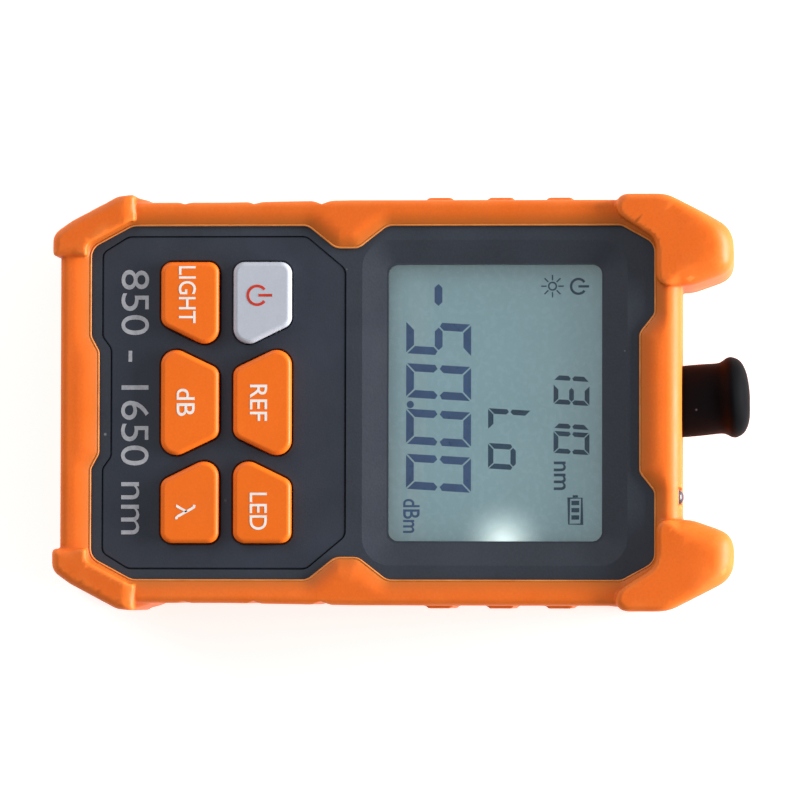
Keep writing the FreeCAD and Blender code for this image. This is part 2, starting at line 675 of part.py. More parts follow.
b = new_body("photodetector")
can = d.shell_high - 4.5
revolve(b, "detector_can", [(0, can - 5.0), (4.0, can - 5.0), (4.0, can - 4.2), (3.5, can - 4.2), (3.5, can), (0, can)])
s = sketch(b, "detector_leg_sketch", [("circle", x, z, 0.22) for x, z in ((-2.0, 1.0), (2.0, 1.0), (0.0, -2.24))],
           -1.0 * (can - 4.9), "XZ_Plane")
f = b.newObject("PartDesign::Pad", "detector_legs")
f.Profile = s
f.Length = 5.5
on_port(b)
nodes.append(b)

b = new_body("adapter_nut")
nut = 5.8
hexagon = [(nut / math.cos(math.pi / 6) * math.cos(math.pi / 3 * i), nut / math.cos(math.pi / 6) * math.sin(math.pi / 3 * i))
           for i in range(6)]
s = sketch(b, "nut_sketch", [hexagon, ("circle", 0.0, 0.0, nose)], -1.0 * d.shell_high, "XZ_Plane")
f = b.newObject("PartDesign::Pad", "nut_hex")
f.Profile = s
f.Reversed = True
f.Length = 2.0
on_port(b)
nodes.append(b)

# rubber dust cap: an open sleeve over the nose with a domed, flanged end
b = new_body("dust_cap")
cw = d.cap_width / 2
cf = d.cap_flange / 2
revolve(b, "cap_turned", [
    (nose + 0.1, d.cap_start), (cw - 0.4, d.cap_start), (cw, d.cap_start + 0.6), (cw, d.cap_end - 4.8, 2.0),
    (cf, d.cap_end - 3.3, 0.25), (cf, d.cap_end - 2.9, 0.2), (cf - 0.75, d.cap_end - 1.5, 1.6),
    (cf - 3.3, d.cap_end - 0.25, 4.0), (0, d.cap_end), (0, d.nose_end + 0.6), (nose + 0.1, d.nose_end + 0.6)])
on_port(b)
nodes.append(b)

b = new_body("torch_lamp")
revolve(b, "lamp_turned", [
    (0, d.shell_high - 3.0), (1.9, d.shell_high - 3.0), (1.9, d.shell_high - 2.0), (1.5, d.shell_high - 2.0),
    (1.5, d.torch_end, 1.45), (0, d.torch_end)])
s = sketch(b, "lamp_leg_sketch", [rect(-1.52, -1.02, -0.25, 0.25), rect(1.02, 1.52, -0.25, 0.25)],
           -1.0 * (d.shell_high - 2.9), "XZ_Plane")
f = b.newObject("PartDesign::Pad", "lamp_legs")
f.Profile = s
f.Length = 5.0
on_port(b, d.torch_offset)
nodes.append(b)


# ---------------------------------------------------------------- batteries
def cell(label, x, forward):
    """AAA cell: a can with a shrunk-on sleeve step and a positive button."""
    b = new_body(label)
    r = d.cell_radius
    length = d.cell_length
    pts = [(0, 0.0), (r - 1.0, 0.0), (r - 0.9, 0.3), (r - 0.4, 0.3), (r, 0.7), (r, length - 1.5), (r - 0.5, length - 1.0),
           (1.9, length - 1.0), (1.9, length), (0, length)]
    revolve(b, label + "_can", pts)
    if forward:
        bind(b, "Placement.Base.y", d.bay_high - 0.35 - length)
    else:
        b.Placement = FreeCAD.Placement(Vec(0, 0, 0), FreeCAD.Rotation(Vec(0, 0, 1), 180))
        bind(b, "Placement.Base.y", d.bay_low + 0.35 + length)
    bind(b, "Placement.Base.x", x)
    bind(b, "Placement.Base.z", d.cell_height)
    return b


nodes.append(cell("battery_cell_left", -1.0 * d.cell_pitch, True))
nodes.append(cell("battery_cell_middle", 0.0, False))
nodes.append(cell("battery_cell_right", d.cell_pitch, True))


def spring(label, x, y_plate, toward):
    """Coil spring from its contact plate to the flat end of a cell.

    Each turn is two half rings, tilted opposite ways so that they meet end to end.
    """
    wire, radius, turns = 0.3, 2.9, 4
    height = d.bay_high - d.bay_low - d.cell_length - 0.7 - 2 * wire - 0.1
    quarter = height / (4.0 * turns)
    ring = Q(math.hypot(radius, quarter.value), "sqrt(%r ^ 2 + %s ^ 2)" % (radius, quarter.text))
    tilt = Q(math.degrees(math.atan(quarter.value / radius)), "atan(%s / %r)" % (quarter.text, radius))
    sides = []
    for side in ("near", "far"):
        rings = []
        for i in range(turns):
            t = doc.addObject("Part::Torus", "%s_%s_%d" % (label, side, i))
            bind(t, "Radius1", ring)
            t.Radius2 = wire
            t.Angle3 = 180
            t.Placement = FreeCAD.Placement(Vec(0, 0, 0), FreeCAD.Rotation(Vec(0, 1, 0), tilt.value))
            bind(t, "Placement.Rotation.Angle", tilt)
            bind(t, "Placement.Base.z", quarter * (1.0 + 4.0 * i))
            rings.append(t)
        group = doc.addObject("Part::Compound", "%s_%s" % (label, side))
        group.Links = rings
        if side == "far":
            group.Placement = FreeCAD.Placement(Vec(0, 0, 0), FreeCAD.Rotation(Vec(0, 0, 1), 180))
            bind(group, "Placement.Base.z", 2.0 * quarter)
        sides.append(group)
    coil = doc.addObject("Part::MultiFuse", label)
    coil.Label = label
    coil.Shapes = sides
    # the coil stands along +Z: lay it along +Y or -Y
    turn = FreeCAD.Rotation(Vec(1, 0, 0), -90 if toward > 0 else 90)
    coil.Placement = FreeCAD.Placement(Vec(0, 0, 0), turn)
    bind(coil, "Placement.Base.x", x)
    bind(coil, "Placement.Base.y", y_plate + toward * (wire + 0.05))
    bind(coil, "Placement.Base.z", d.cell_height)
    return coil


nodes.append(spring("battery_spring_left", -1.0 * d.cell_pitch, d.bay_low + 0.3, 1.0))
nodes.append(spring("battery_spring_middle", 0.0, d.bay_high - 0.3, -1.0))
nodes.append(spring("battery_spring_right", d.cell_pitch, d.bay_low + 0.3, 1.0))


def plate(label, x0, x1, y0, tab=None):
    """Sheet contact on an end wall of the bay, with an optional board tab."""
    b = new_body(label)
    low, high = d.cell_height - 4.2, d.cell_height + 4.2
    pts = [(x0, low, 0.8), (x1, low, 0.8), (x1, high, 0.8), (x0, high, 0.8)]
    s = sketch(b, label + "_sketch", [pts], -1.0 * (y0 + 0.3), "XZ_Plane")
    f = b.newObject("PartDesign::Pad", label + "_sheet")
    f.Profile = s
    f.Length = 0.3
    if tab is not None:
        s2 = sketch(b, label + "_tab_sketch", [rect(tab - 1.0, tab + 1.0, high - 0.5, d.board_bottom)],
                    -1.0 * (y0 + 0.3), "XZ_Plane")
        f2 = b.newObject("PartDesign::Pad", label + "_tab")
        f2.Profile = s2
        f2.Length = 0.3
    return b


nodes.append(plate("contact_negative", -1.0 * d.cell_pitch - 4.6, -1.0 * d.cell_pitch + 4.6, d.bay_low, -1.0 * d.cell_pitch))
nodes.append(plate("contact_positive", d.cell_pitch - 4.6, d.cell_pitch + 4.6, d.bay_high - 0.3, d.cell_pitch))
nodes.append(plate("contact_link_top", -1.0 * d.cell_pitch - 4.6, 4.6, d.bay_high - 0.3))
nodes.append(plate("contact_link_bottom", -4.6, d.cell_pitch + 4.6, d.bay_low))


# ---------------------------------------------------------------- screws
def screws(label, places, head_r, head_low, head_high, shank_r, end):
    """Pan-head screws entered from the back; one node of separate solids."""
    parts = []
    for i, (x, y) in enumerate(places):
        head = doc.addObject("Part::Cylinder", "%s_head_%d" % (label, i))
        bind(head, "Radius", head_r)
        bind(head, "Height", head_high - head_low)
        bind(head, "Placement.Base.x", x)
        bind(head, "Placement.Base.y", y)
        bind(head, "Placement.Base.z", head_low)
        shank = doc.addObject("Part::Cylinder", "%s_shank_%d" % (label, i))
        bind(shank, "Radius", shank_r)
        bind(shank, "Height", end - head_high + 0.2)
        bind(shank, "Placement.Base.x", x)
        bind(shank, "Placement.Base.y", y)
        bind(shank, "Placement.Base.z", head_high - 0.2)
        joined = doc.addObject("Part::Fuse", "%s_blank_%d" % (label, i))
        joined.Base = head
        joined.Tool = shank
        slots = []
        for k, angle in enumerate((45.0, 135.0)):
            slot = doc.addObject("Part::Box", "%s_slot_%d_%d" % (label, i, k))
            slot.Length = 0.5
            bind(slot, "Width", head_r * 1.1)
            slot.Height = 0.8
            c, s_ = math.cos(math.radians(angle)), math.sin(math.radians(angle))
            w = num(head_r) * 1.1
            slot.Placement = FreeCAD.Placement(Vec(0, 0, 0), FreeCAD.Rotation(Vec(0, 0, 1), angle))
            bind(slot, "Placement.Base.x", x - 0.25 * c + w / 2 * s_)
            bind(slot, "Placement.Base.y", y - 0.25 * s_ - w / 2 * c)
            bind(slot, "Placement.Base.z", head_low - 0.05)
            slots.append(slot)
        cross = doc.addObject("Part::MultiFuse", "%s_cross_%d" % (label, i))
        cross.Shapes = slots
        cut = doc.addObject("Part::Cut", "%s_one_%d" % (label, i))
        cut.Base = joined
        cut.Tool = cross
        parts.append(cut)
    group = doc.addObject("Part::Compound", label)
    group.Label = label
    group.Links = parts
    return group


nodes.append(screws("case_screws", boss, 2.3, 4.4, 6.0, 1.2, 20.5))
nodes.append(screws("board_screws", board_screws, 1.8, d.board_bottom - 1.2, d.board_bottom, 0.9, 23.0))

# ---------------------------------------------------------------- rubber boot
core = new_body("boot_core")
pad(core, "boot_block", [mirrored([
    (0, d.boot_low_end),
    (28.6, d.boot_low_end, 2.6),
    (d.boot_half_width, -46.9, 3.0),
    (d.boot_half_width, 39.4, 3.0),
    (30.4, d.boot_top_end, 3.0),
    (0, d.boot_top_end)])], 0.0, d.boot_lip_top)
round_edges(core, "boot_front_round", d.boot_edge_round, at_level(d.boot_lip_top))
round_edges(core, "boot_back_edge", d.boot_back_round, at_level(0.0))
# the lip falls away to the opening
lo = sketch(core, "lip_small", [opening_loop()], d.boot_lip_top - d.lip_slope)
hi = sketch(core, "lip_large", [opening_loop(d.lip_slope_width)], d.boot_lip_top)
lip = core.newObject("PartDesign::SubtractiveLoft", "lip_slope_cut")
lip.Profile = lo
lip.Sections = [hi]
lip.Ruled = True
cuts.append((lip, core))

horn = new_body("boot_horn")
pad(horn, "horn_block", [[
    (d.horn_half_width, 38.0, 0.8),
    (d.horn_half_width, 46.2, 4.3),
    (30.0, d.horn_end, 4.3),
    (22.7, d.horn_end, 3.2),
    (d.horn_inner, 50.2, 1.4),
    (d.horn_inner, 47.4, 0.8),
    (23.2, 44.6, 0.8),
    (27.9, 44.6, 1.8),
    (31.7, 38.0, 0.8)]], 0.0, d.horn_top)
round_edges(horn, "horn_front_round", 0.75, at_level(d.horn_top))
round_edges(horn, "horn_back_round", 0.7, at_level(0.0))
horn_left = doc.addObject("Part::Mirroring", "boot_horn_left")
horn_left.Source = horn
horn_left.Normal = Vec(1, 0, 0)

bump = new_body("boot_bumper")
pad(bump, "bumper_block", [[
    (24.9, d.bumper_end, 0.5),
    (29.6, d.bumper_end, 2.6),
    (d.bumper_half_width, -48.3, 2.6),
    (d.bumper_half_width, -45.6, 0.5),
    (31.9, -45.6, 0.4),
    (31.9, -48.2, 0.8),
    (28.2, -55.0, 0.8),
    (24.9, -55.0, 0.4)]], 0.0, d.bumper_top)
round_edges(bump, "bumper_front_round", 0.35, at_level(d.bumper_top))
pad(bump, "bumper_tail", [[
    (33.0, -47.0), (d.bumper_half_width - 0.02, -47.0), (d.bumper_half_width - 0.02, -45.0),
    (d.boot_half_width - 0.1, -40.4), (33.0, -40.4)]], 2.0, 26.4)
bump_left = doc.addObject("Part::Mirroring", "boot_bumper_left")
bump_left.Source = bump
bump_left.Normal = Vec(1, 0, 0)

grips = []
for i in range(3):
    for sx in (1.0, -1.0):
        y = d.grip_first + i * d.grip_pitch
        b = new_body("boot_grip_%d_%s" % (i, "right" if sx > 0 else "left"))
        hl = d.grip_length / 2
        pts = [(d.boot_half_width - 1.0, y - hl), (d.boot_half_width, y - hl),
               (d.boot_half_width + d.grip_proud, y - hl + 0.8), (d.boot_half_width + d.grip_proud, y + hl - 0.8),
               (d.boot_half_width, y + hl), (d.boot_half_width - 1.0, y + hl)]
        pad(b, b.Name + "_pad", [pts if sx > 0 else flip(pts)], 3.0, 25.8)
        grips.append(b)

solid = doc.addObject("Part::MultiFuse", "boot_solid")
solid.Shapes = [core, horn, horn_left, bump, bump_left] + grips

tool = new_body("boot_hollow")
pad(tool, "hollow_case", [shell_loop(0.0)], d.back_rim, d.shell_face)
round_edges(tool, "hollow_front_edge", 1.2, at_level(d.shell_face))
round_edges(tool, "hollow_back_edge", 1.0, at_level(d.back_rim))
pad(tool, "hollow_front", [opening_loop()], d.shell_face - 2.0, d.horn_top + 1.0)
pad(tool, "hollow_back", [rect(-1.0 * d.back_open_half, d.back_open_half, d.back_open_low, d.back_open_high, 6.0)],
    -1.0, d.back_rim + 2.0)

holes = []
for name, x, r in (("boot_port_hole", 0.0, 7.0), ("boot_torch_hole", d.torch_offset, 1.65)):
    c = doc.addObject("Part::Cylinder", name)
    c.Radius = r
    bind(c, "Height", d.boot_top_end - d.shell_high + 2.0)
    c.Placement = FreeCAD.Placement(Vec(0, 0, 0), FreeCAD.Rotation(Vec(1, 0, 0), -90))
    bind(c, "Placement.Base.x", x)
    bind(c, "Placement.Base.y", d.shell_high - 0.5)
    bind(c, "Placement.Base.z", d.port_height)
    holes.append(c)

notches = []
for y in (-37.3, -25.2, -13.6):
    for sx in (1.0, -1.0):
        b = new_body("boot_notch_%d_%s" % (int(abs(y)), "right" if sx > 0 else "left"))
        pts = [(d.boot_half_width - d.notch_depth, y), (d.boot_half_width + 0.6, y - 1.9), (d.boot_half_width + 0.6, y + 1.9)]
        pad(b, b.Name + "_wedge", [pts if sx > 0 else flip(pts)], -0.5, d.boot_lip_top + 0.5)
        notches.append(b)

# relief in the end wall over the torch lamp
b = new_body("boot_lamp_relief")
pad(b, "lamp_relief_slot", [rect(d.torch_offset - 1.45, d.torch_offset + 1.45, d.boot_top_end - 0.6, d.boot_top_end + 1.0)],
    d.port_height, d.horn_top + 1.0)
notches.append(b)

tools = doc.addObject("Part::MultiFuse", "boot_tools")
tools.Shapes = [tool] + holes + notches
boot = doc.addObject("Part::Cut", "protective_boot")
boot.Label = "protective_boot"
boot.Base = solid
boot.Tool = tools
nodes.append(boot)

# ---------------------------------------------------------------- checks and files
doc.recompute()
bad = []
for o in doc.Objects:
    if any(word in o.State for word in ("Invalid", "Error")):
        bad.append("%s: %s" % (o.Name, o.State))
for f, b in cuts:
    base = f.BaseFeature if f.BaseFeature is not None else None
    if base is not None and not base.Shape.isNull() and not f.Shape.isNull():
        if base.Shape.Volume - f.Shape.Volume < 0.01:
            bad.append("%s cuts nothing" % f.Name)
for o in nodes:
    if o.Shape.isNull() or not o.Shape.isValid():
        bad.append("%s: shape not valid" % o.Label)
if bad:
    raise RuntimeError("failed: " + "; ".join(bad))

os.makedirs("parts", exist_ok=True)
for o in nodes:
    o.Shape.exportStep(os.path.join("parts", o.Label + ".step"))
    bb = o.Shape.BoundBox
    print("%-24s %2d solid %10.1f mm3  x %7.2f %7.2f  y %7.2f %7.2f  z %6.2f %6.2f" % (
        o.Label, len(o.Shape.Solids), o.Shape.Volume, bb.XMin, bb.XMax, bb.YMin, bb.YMax, bb.ZMin, bb.ZMax))
print("nodes", len(nodes))
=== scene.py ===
import math

import bmesh
import bpy
import numpy as np
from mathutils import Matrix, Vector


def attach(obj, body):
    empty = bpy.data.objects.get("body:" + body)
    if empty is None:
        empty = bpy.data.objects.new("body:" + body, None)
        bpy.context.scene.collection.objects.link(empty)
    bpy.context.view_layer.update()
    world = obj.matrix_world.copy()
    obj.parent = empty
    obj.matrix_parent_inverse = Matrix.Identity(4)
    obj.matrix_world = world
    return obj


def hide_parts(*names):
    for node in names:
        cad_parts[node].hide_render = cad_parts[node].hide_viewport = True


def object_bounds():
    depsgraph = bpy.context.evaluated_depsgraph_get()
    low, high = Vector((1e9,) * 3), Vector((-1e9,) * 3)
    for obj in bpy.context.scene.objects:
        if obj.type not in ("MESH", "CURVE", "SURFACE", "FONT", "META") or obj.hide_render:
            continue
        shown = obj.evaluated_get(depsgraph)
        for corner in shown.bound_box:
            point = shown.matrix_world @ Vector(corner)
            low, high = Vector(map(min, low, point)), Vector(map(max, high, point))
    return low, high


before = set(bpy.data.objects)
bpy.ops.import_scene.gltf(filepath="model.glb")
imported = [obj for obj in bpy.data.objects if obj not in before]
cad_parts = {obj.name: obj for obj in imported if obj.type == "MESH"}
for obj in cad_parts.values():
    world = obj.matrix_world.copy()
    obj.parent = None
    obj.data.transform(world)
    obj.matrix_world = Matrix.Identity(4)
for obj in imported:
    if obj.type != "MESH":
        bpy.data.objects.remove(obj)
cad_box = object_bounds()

import openvdb
from mathutils import Matrix, Vector

# Looks of a hand-held fibre optic power meter in a rubber boot, built round the
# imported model. Outlines below are in millimetres, in the same frame as the model,
# and meshes are scaled to metres when they are made.
MM = 0.001
scene = bpy.context.scene
rng = np.random.default_rng(11)


# ------------------------------------------------------------------ outlines
def mirror(half):
    """Close a half outline, listed up the +X side, with its mirror image."""
    return list(half) + [(-p[0],) + tuple(p[1:]) for p in reversed(half) if p[0] > 1e-6]


def outline(points, seg=6):
    """Corner points (x, y, radius) as a closed polyline with the corners rounded."""
    pts = [(float(p[0]), float(p[1]), float(p[2]) if len(p) > 2 else 0.0) for p in points]
    out, n = [], len(points)
    for i in range(n):
        a, b, c = (np.array(pts[j % n][:2]) for j in (i - 1, i, i + 1))
        la, lc = np.linalg.norm(a - b), np.linalg.norm(c - b)
        u, w = (a - b) / la, (c - b) / lc
        half = math.acos(max(-1.0, min(1.0, float(u @ w)))) / 2
        r = pts[i][2]
        if r <= 0 or half > math.pi / 2 - 0.01:
            out.append(b)
            continue
        t = min(r / math.tan(half), 0.48 * la, 0.48 * lc)
        r = t * math.tan(half)
        m = (u + w) / np.linalg.norm(u + w)
        centre = b + m * r / math.sin(half)
        p0, p1 = b + u * t - centre, b + w * t - centre
        a0 = math.atan2(p0[1], p0[0])
        turn = math.atan2(p1[1], p1[0]) - a0
        turn = (turn + math.pi) % (2 * math.pi) - math.pi
        for k in range(seg + 1):
            q = a0 + turn * k / seg
            out.append(centre + r * np.array([math.cos(q), math.sin(q)]))
    return np.array(out)


def distance_to(P, x, y):
    """Signed distance from points to a closed polyline, negative inside."""
    best = np.full(np.shape(x), 1e9)
    inside = np.zeros(np.shape(x), bool)
    for (ax, ay), (bx, by) in zip(P, np.roll(P, -1, axis=0)):
        ex, ey = bx - ax, by - ay
        ll = ex * ex + ey * ey
        if ll < 1e-12:
            continue
        wx, wy = x - ax, y - ay
        h = np.clip((wx * ex + wy * ey) / ll, 0, 1)
        best = np.minimum(best, (wx - ex * h) ** 2 + (wy - ey * h) ** 2)
        if ay != by:
            inside ^= ((ay > y) != (by > y)) & (x < ex * (y - ay) / ey + ax)
    return np.sqrt(best) * np.where(inside, -1.0, 1.0)


def both(a, b, r):
    """Where both hold, with the edge between them rounded."""
    return np.minimum(-r, np.maximum(a, b)) + np.hypot(np.maximum(r + a, 0), np.maximum(r + b, 0))


def either(a, b, r):
    """Either one, with a fillet between them."""
    return np.maximum(r, np.minimum(a, b)) - np.hypot(np.maximum(r - a, 0), np.maximum(r - b, 0))


def ease(v, a, b):
    t = np.clip((v - a) / (b - a), 0, 1)
    return t * t * (3 - 2 * t)


OPENING = outline(mirror([
    (0, -52.3), (8.8, -52.3, 1.8), (11.4, -53.7, 1.8), (26.8, -53.7, 2.6), (30.7, -46.5, 3.0),
    (30.7, -16.0, 2.6), (26.8, -11.2, 2.4), (26.8, -7.3, 2.4), (30.7, -2.3, 2.6), (30.7, 38.2, 2.6),
    (27.5, 44.0, 2.6), (15.3, 44.0, 1.8), (12.0, 41.4, 1.8), (0, 41.4)]))
WALL = outline(mirror([
    (0, -58.9), (28.6, -58.9, 2.6), (34.65, -46.9, 3.0), (34.65, -30.0, 40.0), (35.0, -8.0, 40.0), (35.0, 39.4, 3.0),
    (30.4, 48.5, 3.0), (0, 48.5)]))
CASE = outline(mirror([
    (0, -56.0), (28.2, -56.0, 3.0), (32.0, -49.0, 3.0), (32.0, 38.9, 3.0), (28.3, 45.7, 3.0), (0, 45.7)]))
HORN = outline([
    (35.95, 38.3, 0.6), (35.95, 46.1, 4.3), (30.1, 57.5, 4.6), (22.7, 57.5, 3.2), (20.15, 50.2, 1.6),
    (20.15, 45.6, 0.8), (21.0, 44.12, 0.7), (28.2, 44.12, 2.4), (31.9, 38.3, 1.0), (32.9, 37.25, 1.0), (35.1, 37.25, 0.9)])
BUMPER = outline([
    (25.3, -60.2, 0.7), (29.1, -60.2, 2.6), (31.35, -57.1, 3.0), (35.7, -48.9, 3.2), (36.0, -45.9, 0.6),
    (31.35, -45.9, 0.5), (31.35, -46.75, 1.5), (27.4, -54.2, 1.6), (25.3, -54.2, 0.4)])
TAIL = outline([(32.4, -47.2), (35.7, -47.2), (35.75, -46.4, 1.2), (34.8, -42.9, 1.5), (32.4, -42.9)])
BACK_OPENING = outline([(29.0, -52.0, 6.0), (29.0, 42.0, 6.0), (-29.0, 42.0, 6.0), (-29.0, -52.0, 6.0)])
GRIPS = [outline([(34.0, c - 2.6), (34.9, c - 2.6), (35.5, c - 1.9, 0.3), (35.5, c + 1.9, 0.3), (34.9, c + 2.6),
                  (34.0, c + 2.6)], 3) for c in (6.8, 17.35, 27.55)]
NOTCHES = [outline([(34.3, c), (35.5, c - 3.0), (35.5, c + 3.0)]) for c in (-37.3, -25.2, -13.6)]


# ------------------------------------------------------------------ rubber boot
def boot_fields(x, y):
    ax = np.abs(x)
    f = {"x": x, "ax": ax, "y": y}
    for name, loop in (("wall", WALL), ("open", OPENING), ("case", CASE), ("bumper", BUMPER),
                       ("tail", TAIL), ("back", BACK_OPENING)):
        f[name] = distance_to(loop, ax if name not in ("open", "case", "wall", "back") else x, y)
    # averaged over a small neighbourhood, so that no crease runs in from the corners
    f["horn"] = sum(distance_to(HORN, ax + 1.0 * math.cos(k), y + 1.0 * math.sin(k)) for k in np.arange(8) * math.pi / 4) / 8
    f["grips"] = np.minimum.reduce([distance_to(g, ax, y) for g in GRIPS])
    f["notch"] = np.minimum.reduce([distance_to(g, ax, y) for g in NOTCHES])
    return f


def boot_distance(f, z):
    x, ax, y = f["x"], f["ax"], f["y"]
    s = f["open"]
    # the front lip is highest beyond its middle and falls to the opening
    lip = 28.6 - 0.85 * (1 - np.clip(s / 3.3, 0, 1)) ** 2
    front = 1.1 + 1.9 * ease(y, 40.0, 46.0)
    d = both(f["wall"], z - lip, front)
    d = both(d, -z, 1.4)
    grips = both(both(f["grips"], z - 26.3, 0.3), 3.0 - z, 0.4)
    d = either(d, grips, 0.15)
    d = both(d, -f["notch"], 0.18)
    # a corner pad is rounded more at its outer side than at the opening
    soft = (0.6 + 0.7 * ease(s, 0.8, 3.5)) * (1 - 0.35 * ease(y, -48.8, -46.8))
    bevel = 0.55 * ease(y, -48.0, -45.6)
    bump = both(both(f["bumper"], z - 29.6 + bevel, soft), -z, 1.2)
    tail = both(both(f["tail"], z - 27.6, 1.6), -z, 1.2)
    d = either(either(d, tail, 0.5), bump, 0.3)
    # a horn's face is flat near the case and rolls over at its far end
    side = ease(ax + 0.5216 * np.maximum(y - 46.0, 0), 30.5, 35.5) * (1 - ease(y, 51.0, 57.0))
    roll = 0.7 + (0.3 + 2.8 * ease(y, 43.5, 51.5) * (1 - 0.75 * side)) * ease(s, 0.9, 4.5)
    fall = 0.2 * ease(y, 50.0, 57.5) + 0.45 * (1 - np.clip(s / 1.0, 0, 1)) ** 2
    horn = both(both(f["horn"], z - 30.0 + fall, roll), -z, 1.0)
    d = either(d, horn, 0.35)
    # inside: the room for the case, the two openings and the holes in the end wall
    room = both(both(f["case"], z - 26.4, 0.6), 1.6 - z, 0.8)
    d = np.maximum(d, -room)
    d = both(d, -np.maximum(f["open"], 4.0 - z), 0.22)
    d = both(d, -np.maximum(f["back"], z - 4.0), 0.5)
    port = np.maximum(np.hypot(x, z - 15.0) - 7.0, np.maximum(44.0 - y, y - 50.0))
    torch = np.maximum(np.hypot(x - 16.1, z - 15.0) - 1.65, np.maximum(44.0 - y, y - 50.0))
    d = both(d, -port, 0.4)
    relief = np.maximum(np.maximum(np.abs(x - 16.1) - 1.45, 15.0 - z), 47.9 - y)
    return both(d, -np.minimum(torch, relief), 0.2)


def skin(name, points, faces, smooth=True):
    me = bpy.data.meshes.new(name)
    me.from_pydata([tuple(p) for p in points], [], [tuple(int(i) for i in f) for f in faces])
    me.update()
    if smooth:
        me.shade_smooth()
    ob = bpy.data.objects.new(name, me)
    scene.collection.objects.link(ob)
    return ob


def make_boot():
    step = 0.4
    lo, hi = np.array([-37.5, -61.8, -1.5]), np.array([37.5, 59.2, 31.5])
    n = np.ceil((hi - lo) / step).astype(int) + 1
    xs, ys, zs = (lo[i] + step * np.arange(n[i]) for i in range(3))
    gx, gy = np.meshgrid(xs, ys, indexing="ij")
    flat = boot_fields(gx, gy)
    cube = boot_distance({k: v[:, :, None] for k, v in flat.items()}, zs[None, None, :])
    grid = openvdb.FloatGrid(background=3.0)
    grid.copyFromArray(np.clip(cube, -3.0, 3.0).astype(np.float32))
    points, tris, quads = grid.convertToPolygons(isovalue=0.0, adaptivity=0.012)
    p = points.astype(float) * step + lo
    # settle every vertex on the exact surface
    for _ in range(3):
        here = boot_distance(boot_fields(p[:, 0], p[:, 1]), p[:, 2])
        e = 0.02
        grad = np.stack([(boot_distance(boot_fields(q[:, 0], q[:, 1]), q[:, 2]) - here) / e
                         for q in (p + np.array(o) * e for o in ((1, 0, 0), (0, 1, 0), (0, 0, 1)))], axis=1)
        g2 = (grad ** 2).sum(1)
        move = -here[:, None] * grad / np.maximum(g2, 0.3)[:, None]
        size = np.linalg.norm(move, axis=1, keepdims=True)
        p = p + move * np.minimum(1.0, 0.2 / np.maximum(size, 1e-9))
    # keep inside the modelled envelope
    p = np.clip(p, np.array(cad_box[0]) / MM, np.array(cad_box[1]) / MM)
    faces = [f for f in quads] + [f for f in tris]
    ob = skin("boot_skin", p * MM, faces)
    bm = bmesh.new()
    bm.from_mesh(ob.data)
    bmesh.ops.remove_doubles(bm, verts=bm.verts, dist=0.02 * MM)
    bmesh.ops.dissolve_degenerate(bm, edges=bm.edges, dist=0.01 * MM)
    bmesh.ops.recalc_face_normals(bm, faces=bm.faces)
    if bm.calc_volume(signed=True) < 0:
        bmesh.ops.reverse_faces(bm, faces=bm.faces)
    bm.to_mesh(ob.data)
    bm.free()
    ob.data.update()
    ob.data.shade_smooth()
    q = np.array([v.co for v in ob.data.vertices], float) / MM
    e = 0.03
    grad = np.stack([boot_distance(boot_fields(u[:, 0], u[:, 1]), u[:, 2]) - boot_distance(boot_fields(w[:, 0], w[:, 1]), w[:, 2])
                     for u, w in ((q + np.array(o) * e, q - np.array(o) * e) for o in ((1, 0, 0), (0, 1, 0), (0, 0, 1)))], axis=1)
    size = np.linalg.norm(grad, axis=1, keepdims=True)
    plain = np.array([v.normal for v in ob.data.vertices], float)
    grad = np.where(size > 0.3 * e, grad / np.maximum(size, 1e-9), plain)
    grad = np.where((grad * plain).sum(1, keepdims=True) > 0.5, grad, plain)
    ob.data.normals_split_custom_set_from_vertices([tuple(g) for g in grad])
    # painted shade round the opening: a mask kept as the lip attribute, which browns the boot rubber there
    near = 1 - np.clip((distance_to(OPENING, q[:, 0], q[:, 1]) - 0.2) / 2.1, 0, 1)
    near *= np.where(q[:, 2] > 26.0, 1.0, 0.0) * (1 - 0.8 * ease(q[:, 2], 28.4, 29.2))
    ob.data.attributes.new("lip", "FLOAT", "POINT").data.foreach_set("value", near.astype(np.float32))
    return ob


def tube(name, loop, z, radius, sides=8):
    """A thin round bead along a closed loop."""
    n = len(loop)
    pts, faces = [], []
    for i in range(n):
        t = loop[(i + 1) % n] - loop[i - 1]
        t = t / np.linalg.norm(t)
        out = np.array([t[1], -t[0]])
        for k in range(sides):
            a = 2 * math.pi * k / sides
            q = loop[i] + out * radius * math.cos(a)
            pts.append((q[0] * MM, q[1] * MM, (z + radius * math.sin(a)) * MM))
    for i in range(n):
        j = (i + 1) % n
        for k in range(sides):
            m = (k + 1) % sides
            faces.append((i * sides + k, i * sides + m, j * sides + m, j * sides + k))
    ob = skin(name, pts, faces)
    fix_normals(ob)
    return ob


def fix_normals(ob):
    bm = bmesh.new()
    bm.from_mesh(ob.data)
    bmesh.ops.remove_doubles(bm, verts=bm.verts, dist=1e-7)
    bmesh.ops.recalc_face_normals(bm, faces=bm.faces)
    bm.to_mesh(ob.data)
    bm.free()
    ob.data.update()


def resample(loop, step):
    pts = []
    for a, b in zip(loop, np.roll(loop, -1, axis=0)):
        k = max(1, int(round(np.linalg.norm(b - a) / step)))
        for i in range(k):
            pts.append(a + (b - a) * i / k)
    keep = [pts[0]]
    for q in pts[1:]:
        if np.linalg.norm(q - keep[-1]) > 0.12:
            keep.append(q)
    return np.array(keep)


